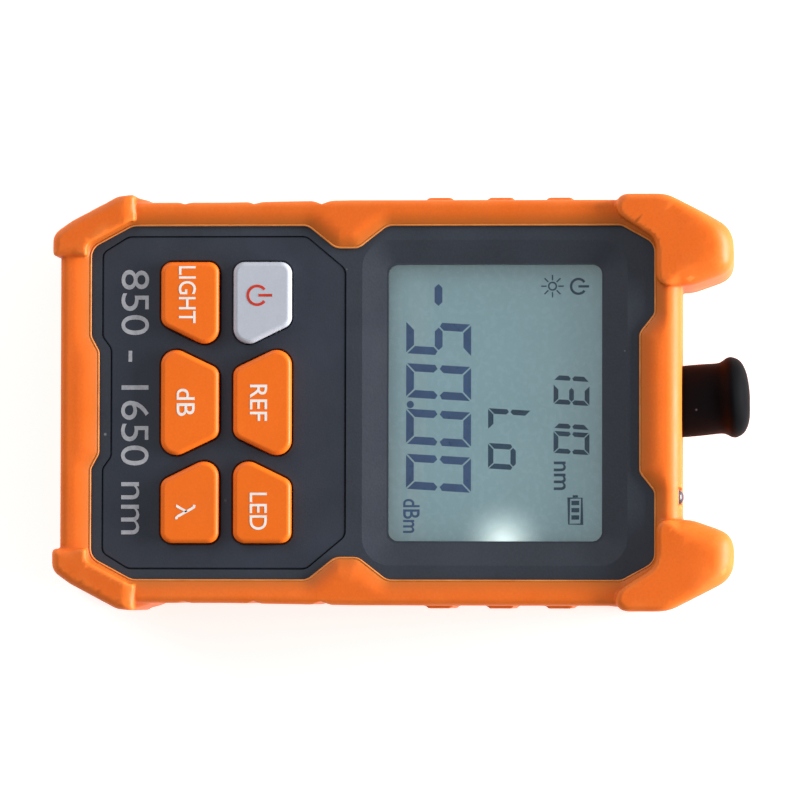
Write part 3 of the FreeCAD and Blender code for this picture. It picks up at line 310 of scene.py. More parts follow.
# ------------------------------------------------------------------ dust cap
def make_cap():
    """Rubber sleeve that leans a little, with a straight bore for the nose inside."""
    outer = [(4.1, 47.8), (5.7, 47.8), (6.1, 47.95), (6.27, 48.4), (6.27, 50.5), (6.22, 52.6), (6.15, 54.2), (6.15, 55.0),
             (6.24, 55.5), (6.5, 56.0), (6.82, 56.45), (6.98, 56.8), (7.05, 57.2), (7.03, 57.5), (6.92, 57.85), (6.68, 58.4),
             (6.3, 58.9), (5.7, 59.35), (4.8, 59.75), (3.7, 60.02), (2.5, 60.18), (1.2, 60.26), (0.0, 60.28)]
    inner = [(4.1, 47.8), (4.1, 49.0), (4.1, 53.0), (4.1, 56.6), (3.4, 57.0), (0.0, 57.05)]
    sides = 72
    pts, faces, rows = [], [], []
    for prof, lean in ((outer, True), (inner, False)):
        for r, y in prof:
            shift = -0.5 - 0.088 * (y - 47.8) if lean and not (y == 47.8 and r < 4.5) else 0.0
            tilt = 0.088 if lean and y > 55.6 else (0.088 * max(0.0, (y - 48.6) / 7.0) if lean else 0.0)
            row = []
            if r == 0.0:
                row = [len(pts)]
                pts.append((shift * MM, min(y, 60.27) * MM, 15.0 * MM))
            else:
                for k in range(sides):
                    a = 2 * math.pi * k / sides
                    cx, cz = r * math.cos(a), r * math.sin(a)
                    yy = min(y + tilt * cx * 0.8, 60.28)
                    row.append(len(pts))
                    pts.append(((shift + cx) * MM, yy * MM, (15.0 + cz) * MM))
            rows.append((row, lean))
    for (a, la), (b, lb) in zip(rows, rows[1:]):
        if la != lb:
            continue
        for k in range(sides):
            m = (k + 1) % sides
            if len(b) == 1:
                faces.append((a[k], a[m], b[0]))
            else:
                faces.append((a[k], a[m], b[m], b[k]))
    ob = skin("cap_skin", pts, faces)
    fix_normals(ob)
    sub = ob.modifiers.new("smooth", "SUBSURF")
    sub.levels = sub.render_levels = 1
    sub.boundary_smooth = "PRESERVE_CORNERS"
    return ob


# ------------------------------------------------------------------ printed marks
def slab(name, polygons, z0, z1):
    """Flat printed marks from convex polygons."""
    pts, faces = [], []
    for poly in polygons:
        n, b = len(poly), len(pts)
        area = sum(poly[i - 1][0] * poly[i][1] - poly[i][0] * poly[i - 1][1] for i in range(n))
        poly = list(poly) if area > 0 else list(reversed(poly))
        pts += [(x * MM, y * MM, z0 * MM) for x, y in poly] + [(x * MM, y * MM, z1 * MM) for x, y in poly]
        faces.append([b + n + i for i in range(n)])
        faces.append([b + i for i in reversed(range(n))])
        for i in range(n):
            j = (i + 1) % n
            faces.append([b + i, b + j, b + n + j, b + n + i])
    me = bpy.data.meshes.new(name)
    me.from_pydata(pts, [], faces)
    me.update()
    ob = bpy.data.objects.new(name, me)
    scene.collection.objects.link(ob)
    return ob


def stroke(points, width, closed=False):
    """A line of even width as a row of quads."""
    P = [np.array(p, float) for p in points]
    n = len(P)
    left, right = [], []
    for i in range(n):
        a = P[i - 1] if (i > 0 or closed) else P[i]
        c = P[(i + 1) % n] if (i < n - 1 or closed) else P[i]
        t = c - a
        t = t / np.linalg.norm(t)
        m = np.array([-t[1], t[0]])
        k = 1.0
        if i not in (0, n - 1) or closed:
            u = (P[i] - a) / np.linalg.norm(P[i] - a)
            k = 1.0 / max(0.5, abs(float(u @ t)))
        left.append(P[i] + m * width * k / 2)
        right.append(P[i] - m * width * k / 2)
    out = []
    for i in range(n if closed else n - 1):
        j = (i + 1) % n
        out.append([tuple(left[i]), tuple(right[i]), tuple(right[j]), tuple(left[j])])
    return out


def arc(cx, cy, r, a0, a1, n=28):
    return [(cx + r * math.cos(math.radians(a0 + (a1 - a0) * i / n)), cy + r * math.sin(math.radians(a0 + (a1 - a0) * i / n)))
            for i in range(n + 1)]


def disc(cx, cy, r, n=20):
    return [(cx + r * math.cos(2 * math.pi * i / n), cy + r * math.sin(2 * math.pi * i / n)) for i in range(n)]


SEGMENTS = {"0": "abcdef", "1": "bc", "3": "abcdg", "5": "acdfg", "L": "def", "o": "cdeg"}


def seven(char, x0, x1, y0, y1, t, gap):
    """One seven-segment character, tops towards +Y."""
    ym, h = (y0 + y1) / 2, t / 2
    g = gap
    shape = {
        "a": [(x0 + g, y1), (x1 - g, y1), (x1 - g - t, y1 - t), (x0 + g + t, y1 - t)],
        "d": [(x0 + g, y0), (x1 - g, y0), (x1 - g - t, y0 + t), (x0 + g + t, y0 + t)],
        "f": [(x0, y1 - g), (x0 + t, y1 - g - t), (x0 + t, ym + h + g), (x0 + h, ym + g), (x0, ym + g + h * 0.6)],
        "b": [(x1, y1 - g), (x1 - t, y1 - g - t), (x1 - t, ym + h + g), (x1 - h, ym + g), (x1, ym + g + h * 0.6)],
        "e": [(x0, y0 + g), (x0 + t, y0 + g + t), (x0 + t, ym - h - g), (x0 + h, ym - g), (x0, ym - g - h * 0.6)],
        "c": [(x1, y0 + g), (x1 - t, y0 + g + t), (x1 - t, ym - h - g), (x1 - h, ym - g), (x1, ym - g - h * 0.6)],
        "g": [(x0 + h + g, ym), (x0 + t + g, ym + h), (x1 - t - g, ym + h), (x1 - h - g, ym), (x1 - t - g, ym - h),
              (x0 + t + g, ym - h)],
    }
    return [[(x + 0.06 * (y - ym), y) for x, y in shape[s]] for s in SEGMENTS[char]]


def letters(name, text, x0, x1, y0, y1, z0, z1, bold=0.0, keep=False):
    """Lettering fitted to a box on a surface, as a thin print."""
    cu = bpy.data.curves.new(name, "FONT")
    cu.body = text
    cu.size = 1.0
    cu.offset = bold
    cu.resolution_u = 6
    tmp = bpy.data.objects.new(name + "_tmp", cu)
    scene.collection.objects.link(tmp)
    bpy.context.view_layer.update()
    me = bpy.data.meshes.new_from_object(tmp.evaluated_get(bpy.context.evaluated_depsgraph_get()))
    bpy.data.objects.remove(tmp)
    bpy.data.curves.remove(cu)
    co = np.array([v.co for v in me.vertices], float)
    lo, hi = co.min(0), co.max(0)
    sx, sy = (x1 - x0) / (hi[0] - lo[0]), (y1 - y0) / (hi[1] - lo[1])
    if keep:
        sx = sy
        x0 = (x0 + x1) / 2 - sx * (hi[0] - lo[0]) / 2
    for v in me.vertices:
        v.co = ((x0 + (v.co.x - lo[0]) * sx) * MM, (y0 + (v.co.y - lo[1]) * sy) * MM, z0 * MM)
    bm = bmesh.new()
    bm.from_mesh(me)
    bmesh.ops.remove_doubles(bm, verts=bm.verts, dist=1e-7)
    bmesh.ops.recalc_face_normals(bm, faces=bm.faces)
    if bm.faces and sum(f.normal.z * f.calc_area() for f in bm.faces) < 0:
        bmesh.ops.reverse_faces(bm, faces=bm.faces)
    top = bmesh.ops.extrude_face_region(bm, geom=bm.faces[:])
    for v in (g for g in top["geom"] if isinstance(g, bmesh.types.BMVert)):
        v.co.z = z1 * MM
    bmesh.ops.recalc_face_normals(bm, faces=bm.faces)
    bm.to_mesh(me)
    bm.free()
    me.name = name
    me.shade_flat()
    ob = bpy.data.objects.new(name, me)
    scene.collection.objects.link(ob)
    return ob


# ------------------------------------------------------------------ materials
class Finish(object):
    """A node material with the helpers that the finishes below share."""

    def __init__(self, name):
        self.mat = bpy.data.materials.new(name)
        self.mat.use_nodes = True
        self.nt = self.mat.node_tree
        self.nt.nodes.clear()
        self.out = self.nt.nodes.new("ShaderNodeOutputMaterial")
        self.bsdf = self.nt.nodes.new("ShaderNodeBsdfPrincipled")
        self.link(self.bsdf.outputs["BSDF"], self.out.inputs["Surface"])
        self.where = self.nt.nodes.new("ShaderNodeTexCoord").outputs["Object"]

    def link(self, a, b):
        self.nt.links.new(a, b)
        return a

    def set(self, **values):
        names = {"rough": "Roughness", "metal": "Metallic", "spec": "Specular IOR Level", "ior": "IOR", "alpha": "Alpha",
                 "coat": "Coat Weight", "coat_rough": "Coat Roughness", "sheen": "Sheen Weight", "sheen_rough": "Sheen Roughness",
                 "trans": "Transmission Weight", "sub": "Subsurface Weight", "sub_scale": "Subsurface Scale",
                 "glow": "Emission Strength"}
        for k, v in values.items():
            self.bsdf.inputs[names[k]].default_value = v
        return self

    def node(self, kind, **settings):
        n = self.nt.nodes.new(kind)
        for k, v in settings.items():
            setattr(n, k, v)
        return n

    def stretch(self, x, y, z):
        n = self.node("ShaderNodeMapping")
        self.link(self.where, n.inputs["Vector"])
        n.inputs["Scale"].default_value = (x, y, z)
        return n.outputs["Vector"]

    def noise(self, scale, detail=3.0, rough=0.55, vector=None, distort=0.0):
        n = self.node("ShaderNodeTexNoise")
        self.link(vector or self.where, n.inputs["Vector"])
        n.inputs["Scale"].default_value = scale
        n.inputs["Detail"].default_value = detail
        n.inputs["Roughness"].default_value = rough
        n.inputs["Distortion"].default_value = distort
        return n.outputs["Fac"]

    def cells(self, scale, feature="F1", rand=1.0, vector=None):
        n = self.node("ShaderNodeTexVoronoi", feature=feature)
        self.link(vector or self.where, n.inputs["Vector"])
        n.inputs["Scale"].default_value = scale
        n.inputs["Randomness"].default_value = rand
        return n.outputs["Distance"]

    def spread(self, value, a, b, c, d):
        n = self.node("ShaderNodeMapRange")
        self.link(value, n.inputs["Value"])
        for k, v in zip(("From Min", "From Max", "To Min", "To Max"), (a, b, c, d)):
            n.inputs[k].default_value = v
        return n.outputs["Result"]

    def calc(self, op, a, b=None):
        n = self.node("ShaderNodeMath", operation=op)
        for i, v in enumerate((a, b)):
            if v is None:
                continue
            if isinstance(v, (int, float)):
                n.inputs[i].default_value = v
            else:
                self.link(v, n.inputs[i])
        return n.outputs["Value"]

    def colours(self, value, stops):
        n = self.node("ShaderNodeValToRGB")
        self.link(value, n.inputs["Fac"])
        ramp = n.color_ramp
        while len(ramp.elements) < len(stops):
            ramp.elements.new(0.5)
        for e, (pos, rgb) in zip(ramp.elements, stops):
            e.position = pos
            e.color = (*rgb, 1.0)
        return n.outputs["Color"]

    def blend(self, fac, a, b, kind="MIX"):
        n = self.node("ShaderNodeMix", data_type="RGBA", blend_type=kind)
        if isinstance(fac, (int, float)):
            n.inputs[0].default_value = fac
        else:
            self.link(fac, n.inputs[0])
        for v, i in ((a, 6), (b, 7)):
            if isinstance(v, tuple):
                n.inputs[i].default_value = (*v, 1.0)
            else:
                self.link(v, n.inputs[i])
        return n.outputs[2]

    def base(self, colour):
        self.link(colour, self.bsdf.inputs["Base Color"])
        return self

    def roughness(self, value):
        self.link(value, self.bsdf.inputs["Roughness"])
        return self

    def bump(self, height, distance, strength=1.0, after=None):
        n = self.node("ShaderNodeBump")
        self.link(height, n.inputs["Height"])
        n.inputs["Distance"].default_value = distance
        n.inputs["Strength"].default_value = strength
        if after is not None:
            self.link(after, n.inputs["Normal"])
        self.link(n.outputs["Normal"], self.bsdf.inputs["Normal"])
        return n.outputs["Normal"]

    def axis(self, which):
        n = self.node("ShaderNodeSeparateXYZ")
        self.link(self.where, n.inputs["Vector"])
        return n.outputs[which]

    def point(self, x, y, z):
        """Distance in metres from a point of the frame, in millimetres."""
        n = self.node("ShaderNodeVectorMath", operation="DISTANCE")
        self.link(self.where, n.inputs[0])
        n.inputs[1].default_value = (x * MM, y * MM, z * MM)
        return n.outputs["Value"]


def tone(rgb, k):
    return tuple(min(1.0, c * k) for c in rgb)


def plastic(name, rgb, rough=0.5, spread=0.08, grain=2600.0, depth=0.02, spec=0.4, specks=True, vary=0.16):
    """Moulded plastic with a fine spark texture, faint blotches and a few dust specks."""
    f = Finish(name).set(spec=spec)
    blotch = f.noise(70.0, 4.0, 0.6)
    fine = f.noise(grain, 2.0, 0.6)
    col = f.colours(blotch, [(0.3, tone(rgb, 1 - vary)), (0.7, tone(rgb, 1 + vary))])
    col = f.blend(f.spread(fine, 0.35, 0.7, 0.0, 0.35), col, tone(rgb, 1.5))
    if specks:
        dot = f.cells(190.0)
        big = f.noise(45.0, 2.0)
        mask = f.calc("MULTIPLY", f.spread(dot, 0.035, 0.055, 1.0, 0.0), f.spread(big, 0.5, 0.56, 0.0, 1.0))
        col = f.blend(f.calc("MULTIPLY", mask, 0.5), col, (0.30, 0.32, 0.34))
    f.base(col)
    f.roughness(f.spread(f.noise(160.0, 4.0), 0.3, 0.7, rough - spread, rough + spread))
    f.bump(f.cells(grain * 0.9), depth * MM, 0.55, f.bump(fine, depth * 0.8 * MM, 0.6))
    return f


def rubber(name, rgb, dark, light, rough=0.55, grain=2200.0, depth=0.018, spec=0.3, edges=True, vary=0.05):
    """Moulded silicone rubber: fine matt grain and soft mottling; with edges on, a painted highlight makes convex edges
    paler and painted shade makes hollows darker.
    """
    f = Finish(name).set(spec=spec)
    col = f.colours(f.noise(55.0, 4.0, 0.6), [(0.3, tone(rgb, 1 - vary)), (0.7, tone(rgb, 1 + vary))])
    col = f.blend(f.spread(f.noise(grain, 3.0, 0.6), 0.35, 0.72, 0.0, 0.22), col, dark)
    if edges:
        convexity = f.node("ShaderNodeNewGeometry").outputs["Pointiness"]
        highlight_break = f.noise(240.0, 3.0)
        # painted highlight: convex edges turn to the pale colour, broken up by noise
        col = f.blend(f.calc("MULTIPLY", f.spread(convexity, 0.505, 0.56, 0.0, 0.55), f.spread(highlight_break, 0.35, 0.6, 0.35, 1.0)), col, light)
        # painted shade: hollows turn to the dark colour
        col = f.blend(f.spread(convexity, 0.495, 0.44, 0.0, 0.5), col, dark)
    f.base(col)
    f.roughness(f.spread(f.noise(120.0, 4.0), 0.3, 0.7, rough - 0.08, rough + 0.1))
    f.bump(f.noise(grain, 3.0, 0.6), depth * MM, 0.7, f.bump(f.noise(380.0, 3.0), 0.035 * MM, 0.35))
    return f


def metal(name, rgb, rough=0.3, along=(600.0, 3000.0, 600.0), depth=0.006, tarnish=(0.3, 0.26, 0.2)):
    """Plated metal with fine turning marks and a little tarnish."""
    f = Finish(name).set(metal=1.0)
    lines = f.noise(1.0, 4.0, 0.6, vector=f.stretch(*along))
    col = f.colours(f.noise(220.0, 4.0), [(0.35, tone(rgb, 0.85)), (0.65, tone(rgb, 1.05))])
    col = f.blend(f.spread(f.noise(420.0, 4.0), 0.56, 0.75, 0.0, 0.45), col, tarnish)
    f.base(col)
    f.roughness(f.spread(lines, 0.3, 0.7, rough - 0.1, rough + 0.14))
    f.bump(lines, depth * MM, 0.8)
    return f


def make_finishes():
    M = {}
    # boot rubber: the pale colour is its painted edge highlight; the dark one serves both the grain and the painted
    # shade in hollows
    M["boot_rubber"] = f = rubber("boot_rubber", (0.84, 0.148, 0.009), (0.58, 0.085, 0.006), (0.97, 0.30, 0.06), rough=0.5)
    # painted shade: the rubber is browner round the opening and down the lip's inner slope, and the mould line shows on
    # the walls
    near = f.node("ShaderNodeAttribute", attribute_name="lip").outputs["Fac"]
    near = f.calc("MULTIPLY", near, f.spread(f.noise(90.0, 3.0), 0.3, 0.7, 0.75, 1.0))
    old = f.bsdf.inputs["Base Color"].links[0].from_socket
    col = f.blend(near, old, (0.50, 0.128, 0.012))
    line = f.spread(f.calc("ABSOLUTE", f.calc("SUBTRACT", f.axis("Z"), 0.0090)), 0.00008, 0.00022, 0.45, 0.0)
    f.base(f.blend(line, col, (0.42, 0.07, 0.008)))
    f = Finish("boot_edge").set(spec=0.35)
    f.base(f.colours(f.noise(300.0, 3.0), [(0.3, (0.62, 0.19, 0.035)), (0.7, (0.76, 0.27, 0.065))]))
    f.roughness(f.spread(f.noise(500.0, 2.0), 0.3, 0.7, 0.35, 0.6))
    f.bump(f.noise(1800.0, 2.0), 0.012 * MM, 0.6)
    M["boot_edge"] = f
    M["case_plastic"] = plastic("case_plastic", (0.0265, 0.0325, 0.046), rough=0.52, grain=2600.0, depth=0.02)
    M["panel_plastic"] = plastic("panel_plastic", (0.0245, 0.0305, 0.046), rough=0.5, grain=3400.0, depth=0.012)
    M["key_rubber"] = rubber("key_rubber", (0.93, 0.170, 0.008), (0.70, 0.10, 0.004), (1.0, 0.34, 0.07), rough=0.42, grain=3000.0,
                             depth=0.01, edges=False, vary=0.04)
    M["power_key_rubber"] = rubber("power_key_rubber", (0.50, 0.53, 0.60), (0.36, 0.38, 0.44), (0.7, 0.72, 0.76), rough=0.42,
                                   grain=3000.0, depth=0.01, edges=False, vary=0.04)
    f = Finish("clear_acrylic").set(ior=1.49, trans=1.0, spec=0.5)
    f.base(f.colours(f.noise(60.0, 2.0), [(0.3, (0.93, 0.965, 0.97)), (0.7, (0.97, 0.985, 0.985))]))
    f.roughness(f.spread(f.noise(700.0, 5.0), 0.45, 0.75, 0.0, 0.012))
    f.bump(f.noise(35.0, 2.0), 0.002 * MM, 0.1)
    M["clear_acrylic"] = f
    f = Finish("foam_gasket").set(spec=0.2)
    f.base(f.colours(f.noise(1500.0, 4.0), [(0.3, (0.012, 0.012, 0.013)), (0.7, (0.05, 0.05, 0.052))]))
    f.roughness(f.spread(f.noise(900.0, 2.0), 0.3, 0.7, 0.75, 0.95))
    f.bump(f.cells(2600.0), 0.05 * MM, 0.8)
    M["foam_gasket"] = f
    # liquid crystal glass: grey-green, with paler streaks towards the low-Y end, a painted highlight as a pale glowing
    # spot at the +X edge, and a faint painted glow all over
    f = Finish("display_glass").set(spec=0.35)
    col = f.colours(f.noise(40.0, 3.0, 0.5), [(0.3, (0.300, 0.515, 0.595)), (0.7, (0.325, 0.555, 0.640))])
    streak = f.noise(1.0, 2.0, 0.5, vector=f.stretch(25.0, 420.0, 25.0))
    low = f.spread(f.axis("Y"), 0.0075, 0.001, 0.0, 0.5)
    col = f.blend(f.calc("MULTIPLY", low, f.spread(streak, 0.45, 0.62, 0.0, 1.0)), col, (0.42, 0.56, 0.60))
    # painted highlight: a pale spot at the +X edge of the glass, also made to glow
    lamp = f.spread(f.point(24.4, 17.7, 23.2), 0.0008, 0.0088, 1.0, 0.0)
    lamp = f.calc("POWER", lamp, 2.3)
    col = f.blend(lamp, col, (0.93, 0.99, 0.97))
    f.base(col)
    # painted glow: the spot plus a faint even glow that stands in for light the window holds back
    f.link(f.calc("ADD", f.calc("MULTIPLY", lamp, 0.8), 0.095), f.bsdf.inputs["Emission Strength"])
    f.bsdf.inputs["Emission Color"].default_value = (0.82, 1.0, 0.99, 1.0)
    f.roughness(f.spread(f.noise(900.0, 3.0), 0.3, 0.7, 0.2, 0.32))
    f.bump(f.noise(2600.0, 1.0), 0.001 * MM, 0.2)
    M["display_glass"] = f
    f = Finish("segment_ink").set(spec=0.3)
    f.base(f.colours(f.noise(420.0, 3.0), [(0.3, (0.058, 0.135, 0.320)), (0.7, (0.072, 0.165, 0.370))]))
    f.roughness(f.spread(f.noise(900.0, 3.0), 0.3, 0.7, 0.25, 0.4))
    f.bump(f.noise(4200.0, 1.0), 0.003 * MM, 0.4)
    M["segment_ink"] = f
    f = Finish("icon_ink").set(spec=0.3)
    f.base(f.colours(f.noise(420.0, 3.0), [(0.3, (0.022, 0.078, 0.150)), (0.7, (0.030, 0.100, 0.185))]))
    f.roughness(f.spread(f.noise(900.0, 3.0), 0.3, 0.7, 0.25, 0.4))
    f.bump(f.noise(4200.0, 1.0), 0.003 * MM, 0.4)
    M["icon_ink"] = f
    for name, rgb, dark in (("key_ink", (0.90, 0.90, 0.88), (0.78, 0.74, 0.70)), ("red_ink", (0.62, 0.035, 0.012), (0.45, 0.03, 0.012)),
                            ("panel_ink", (0.44, 0.45, 0.49), (0.34, 0.35, 0.39))):
        f = Finish(name).set(spec=0.35)
        col = f.colours(f.noise(900.0, 4.0, 0.65), [(0.32, dark), (0.55, rgb)])
        f.base(col)
        f.roughness(f.spread(f.noise(1500.0, 2.0), 0.3, 0.7, 0.4, 0.65))
        f.bump(f.noise(3800.0, 2.0), 0.008 * MM, 0.6)
        M[name] = f
    M["light_guide"] = plastic("light_guide", (0.80, 0.84, 0.85), rough=0.35, grain=1800.0, depth=0.01, specks=False, vary=0.04)
    M["mat_silicone"] = rubber("mat_silicone", (0.55, 0.56, 0.54), (0.40, 0.41, 0.40), (0.7, 0.7, 0.7), rough=0.5, edges=False)
    M["frame_plastic"] = plastic("frame_plastic", (0.018, 0.018, 0.019), rough=0.5, specks=False)
    # solder mask over copper tracks
    f = Finish("circuit_board").set(spec=0.5)
    tracks = f.cells(330.0, "DISTANCE_TO_EDGE", 0.6)
    col = f.colours(f.noise(300.0, 3.0), [(0.35, (0.010, 0.105, 0.035)), (0.65, (0.016, 0.15, 0.05))])
    col = f.blend(f.spread(tracks, 0.06, 0.10, 0.7, 0.0), col, (0.05, 0.26, 0.10))
    f.base(col)
    f.roughness(f.spread(f.noise(500.0, 3.0), 0.3, 0.7, 0.22, 0.4))
    f.bump(f.spread(tracks, 0.06, 0.10, 1.0, 0.0), 0.03 * MM, 0.6)
    M["circuit_board"] = f
    M["chip_resin"] = plastic("chip_resin", (0.016, 0.016, 0.017), rough=0.6, grain=3200.0, specks=False)
    M["nickel_brass"] = metal("nickel_brass", (0.62, 0.59, 0.53), 0.28, (900.0, 5200.0, 900.0))
    f = Finish("white_ceramic").set(spec=0.55)
    f.base(f.colours(f.noise(400.0, 3.0), [(0.3, (0.80, 0.79, 0.75)), (0.7, (0.88, 0.87, 0.84))]))
    f.roughness(f.spread(f.noise(1200.0, 3.0), 0.3, 0.7, 0.18, 0.32))
    f.bump(f.noise(1.0, 3.0, vector=f.stretch(900.0, 6000.0, 900.0)), 0.003 * MM, 0.6)
    M["white_ceramic"] = f
    M["plated_steel"] = metal("plated_steel", (0.66, 0.66, 0.67), 0.3, (2600.0, 500.0, 500.0))
    f = rubber("cap_rubber", (0.0022, 0.0026, 0.0036), (0.002, 0.002, 0.0024), (0.01, 0.01, 0.012), rough=0.62, grain=2600.0,
               depth=0.012, spec=0.05, edges=False, vary=0.2)
    # a lint speck or two
    lint = f.calc("MULTIPLY", f.spread(f.cells(260.0), 0.05, 0.08, 1.0, 0.0), f.spread(f.noise(90.0, 2.0), 0.56, 0.62, 0.0, 1.0))
    old = f.bsdf.inputs["Base Color"].links[0].from_socket
    f.base(f.blend(f.calc("MULTIPLY", lint, 0.35), old, (0.25, 0.25, 0.26)))
    M["cap_rubber"] = f
    f = Finish("lamp_resin").set(spec=0.4, ior=1.5, trans=0.15)
    f.base(f.colours(f.noise(500.0, 3.0), [(0.3, (0.035, 0.035, 0.042)), (0.7, (0.075, 0.072, 0.09))]))
    f.roughness(f.spread(f.noise(900.0, 2.0), 0.3, 0.7, 0.22, 0.32))
    f.bump(f.noise(200.0, 2.0), 0.01 * MM, 0.3)
    M["lamp_resin"] = f
    # shrink sleeve: dark with faint blotches, and fine streaks in its surface
    f = Finish("cell_sleeve").set(spec=0.5)
    col = f.colours(f.noise(260.0, 4.0), [(0.3, (0.07, 0.07, 0.078)), (0.7, (0.12, 0.12, 0.13))])
    f.base(col)
    f.roughness(f.spread(f.noise(300.0, 4.0), 0.3, 0.7, 0.22, 0.38))
    f.bump(f.noise(1.0, 3.0, vector=f.stretch(1400.0, 120.0, 1400.0)), 0.02 * MM, 0.5)
    M["cell_sleeve"] = f
    M["screw_steel"] = metal("screw_steel", (0.30, 0.30, 0.32), 0.36, (1800.0, 1800.0, 600.0), tarnish=(0.12, 0.11, 0.1))
    return M


# ------------------------------------------------------------------ put it together
M = make_finishes()
root = "root"


def paint(ob, finish):
    ob.data.materials.clear()
    ob.data.materials.append(M[finish].mat)


def coat(node, finish):
    """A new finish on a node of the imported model, in its object's material slots."""
    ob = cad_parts[node]
    if not ob.material_slots:
        ob.data.materials.append(None)
    for s in ob.material_slots:
        s.link = "OBJECT"
        s.material = M[finish].mat


parts = {"front_shell": "case_plastic", "rear_shell": "case_plastic", "battery_cover": "case_plastic",
         "keypad_panel": "panel_plastic", "key_light": "key_rubber", "key_decibel": "key_rubber",
         "key_wavelength": "key_rubber", "key_reference": "key_rubber", "key_torch": "key_rubber",
         "key_power": "power_key_rubber", "display_window": "clear_acrylic", "window_gasket": "foam_gasket",
         "lcd_glass": "display_glass", "backlight_panel": "light_guide", "zebra_strip": "foam_gasket",
         "lcd_frame": "frame_plastic", "main_board": "circuit_board", "keypad_mat": "mat_silicone",
         "processor_chip": "chip_resin", "amplifier_chip": "chip_resin", "fibre_adapter": "nickel_brass",
         "ferrule_sleeve": "white_ceramic", "photodetector": "nickel_brass", "adapter_nut": "nickel_brass",
         "torch_lamp": "lamp_resin", "battery_cell_left": "cell_sleeve", "battery_cell_middle": "cell_sleeve",
         "battery_cell_right": "cell_sleeve", "battery_spring_left": "plated_steel",
         "battery_spring_middle": "plated_steel", "battery_spring_right": "plated_steel",
         "contact_negative": "plated_steel", "contact_positive": "plated_steel", "contact_link_top": "plated_steel",
         "contact_link_bottom": "plated_steel", "case_screws": "screw_steel", "board_screws": "screw_steel",
         "protective_boot": "boot_rubber", "dust_cap": "cap_rubber"}
for node, finish in parts.items():
    coat(node, finish)

boot = make_boot()
paint(boot, "boot_rubber")
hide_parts("protective_boot")
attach(boot, root)

bead = tube("boot_edge_bead", resample(OPENING, 1.2), 27.74, 0.17)
paint(bead, "boot_edge")
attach(bead, root)

cap = make_cap()
paint(cap, "cap_rubber")
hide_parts("dust_cap")
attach(cap, "dust_cap_body")


def mark(ob, finish, body):
    paint(ob, finish)
    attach(ob, body)


KEY_Z0, KEY_Z1 = 28.79, 28.83
mark(letters("legend_light", "LIGHT", -23.55, -13.7, -38.3, -35.35, KEY_Z0, KEY_Z1, 0.004), "key_ink", "light_key")
mark(letters("legend_decibel", "dB", -2.35, 2.35, -38.6, -35.5, KEY_Z0, KEY_Z1, 0.004), "key_ink", "decibel_key")
mark(letters("legend_reference", "REF", -3.05, 3.2, -25.9, -22.95, KEY_Z0, KEY_Z1, 0.004), "key_ink", "reference_key")
mark(letters("legend_torch", "LED", 15.6, 22.0, -25.9, -22.95, KEY_Z0, KEY_Z1, 0.004), "key_ink", "torch_key")
lam = stroke([(17.72, -35.5), (18.1, -35.55), (18.42, -36.05)], 0.42) + stroke([(18.42, -36.05), (19.72, -38.4)], 0.42) + \
    stroke([(19.72, -38.4), (19.95, -38.62), (20.2, -38.58)], 0.40)
lam += [[(17.62, -38.65), (18.1, -38.65), (19.0, -37.0), (18.78, -36.62)]]
mark(slab("legend_wavelength", lam, KEY_Z0, KEY_Z1), "key_ink", "wavelength_key")
power = stroke(arc(-18.5, -24.7, 1.62, 128, 412), 0.46) + stroke([(-18.5, -24.45), (-18.5, -22.1)], 0.46)
mark(slab("legend_power", power, KEY_Z0, KEY_Z1), "red_ink", "power_key")

mark(letters("panel_scale", "850 - 1650 nm", -23.0, 22.8, -48.4, -43.6, 27.29, 27.33, 0.0), "panel_ink", root)

# display contents, placed as they are seen through the window
GROW = 1.0048
EYE = (32.0, 60.0)


def deep(x, y):
    """The place on the display glass that lines up with a place on the front face."""
    return (EYE[0] + (x - EYE[0]) * GROW, EYE[1] + (y - EYE[1]) * GROW)


def seen(polys):
    return [[deep(x, y) for x, y in p] for p in polys]


def px(u, v):
    """Frame millimetres at the front face for a drawing unit of 0.1725 mm."""
    return ((v - 402.5) * 0.1725, (u - 400.0) * 0.1725)


def digit(ch, v0, v1, u0, u1, t, gap):
    (x0, y0), (x1, y1) = px(u0, v0), px(u1, v1)
    return seven(ch, x0, x1, y0, y1, t, gap)


big = []
for ch, v0, v1 in (("5", 323, 355), ("0", 365.5, 399), ("0", 411, 445.5), ("0", 456, 490.5)):
    big += digit(ch, v0 - 0.3, v1 + 0.3, 406.3, 471.3, 1.34, 0.19)
x0, y0 = px(434.6, 284)
x1, y1 = px(442.4, 306)
ym = (y0 + y1) / 2
big.append([(x0, ym), (x0 + 0.65, y1), (x1 - 0.65, y1), (x1, ym), (x1 - 0.65, y0), (x0 + 0.65, y0)])
cx, cy = px(410.5, 404.6)
big.append(disc(cx, cy, 0.62))
mark(slab("display_digits", seen(big), 23.2, 23.215), "segment_ink", root)

small = []
small += digit("L", 409.5, 431, 488.3, 531.5, 0.92, 0.14)
small += digit("o", 444.5, 470, 488.3, 538.5, 0.92, 0.14)
for ch, v0, v1 in (("1", 367, 381), ("3", 385, 405), ("1", 415, 429), ("0", 432, 454)):
    small += digit(ch, v0, v1, 553.7, 589.5, 0.82, 0.12)
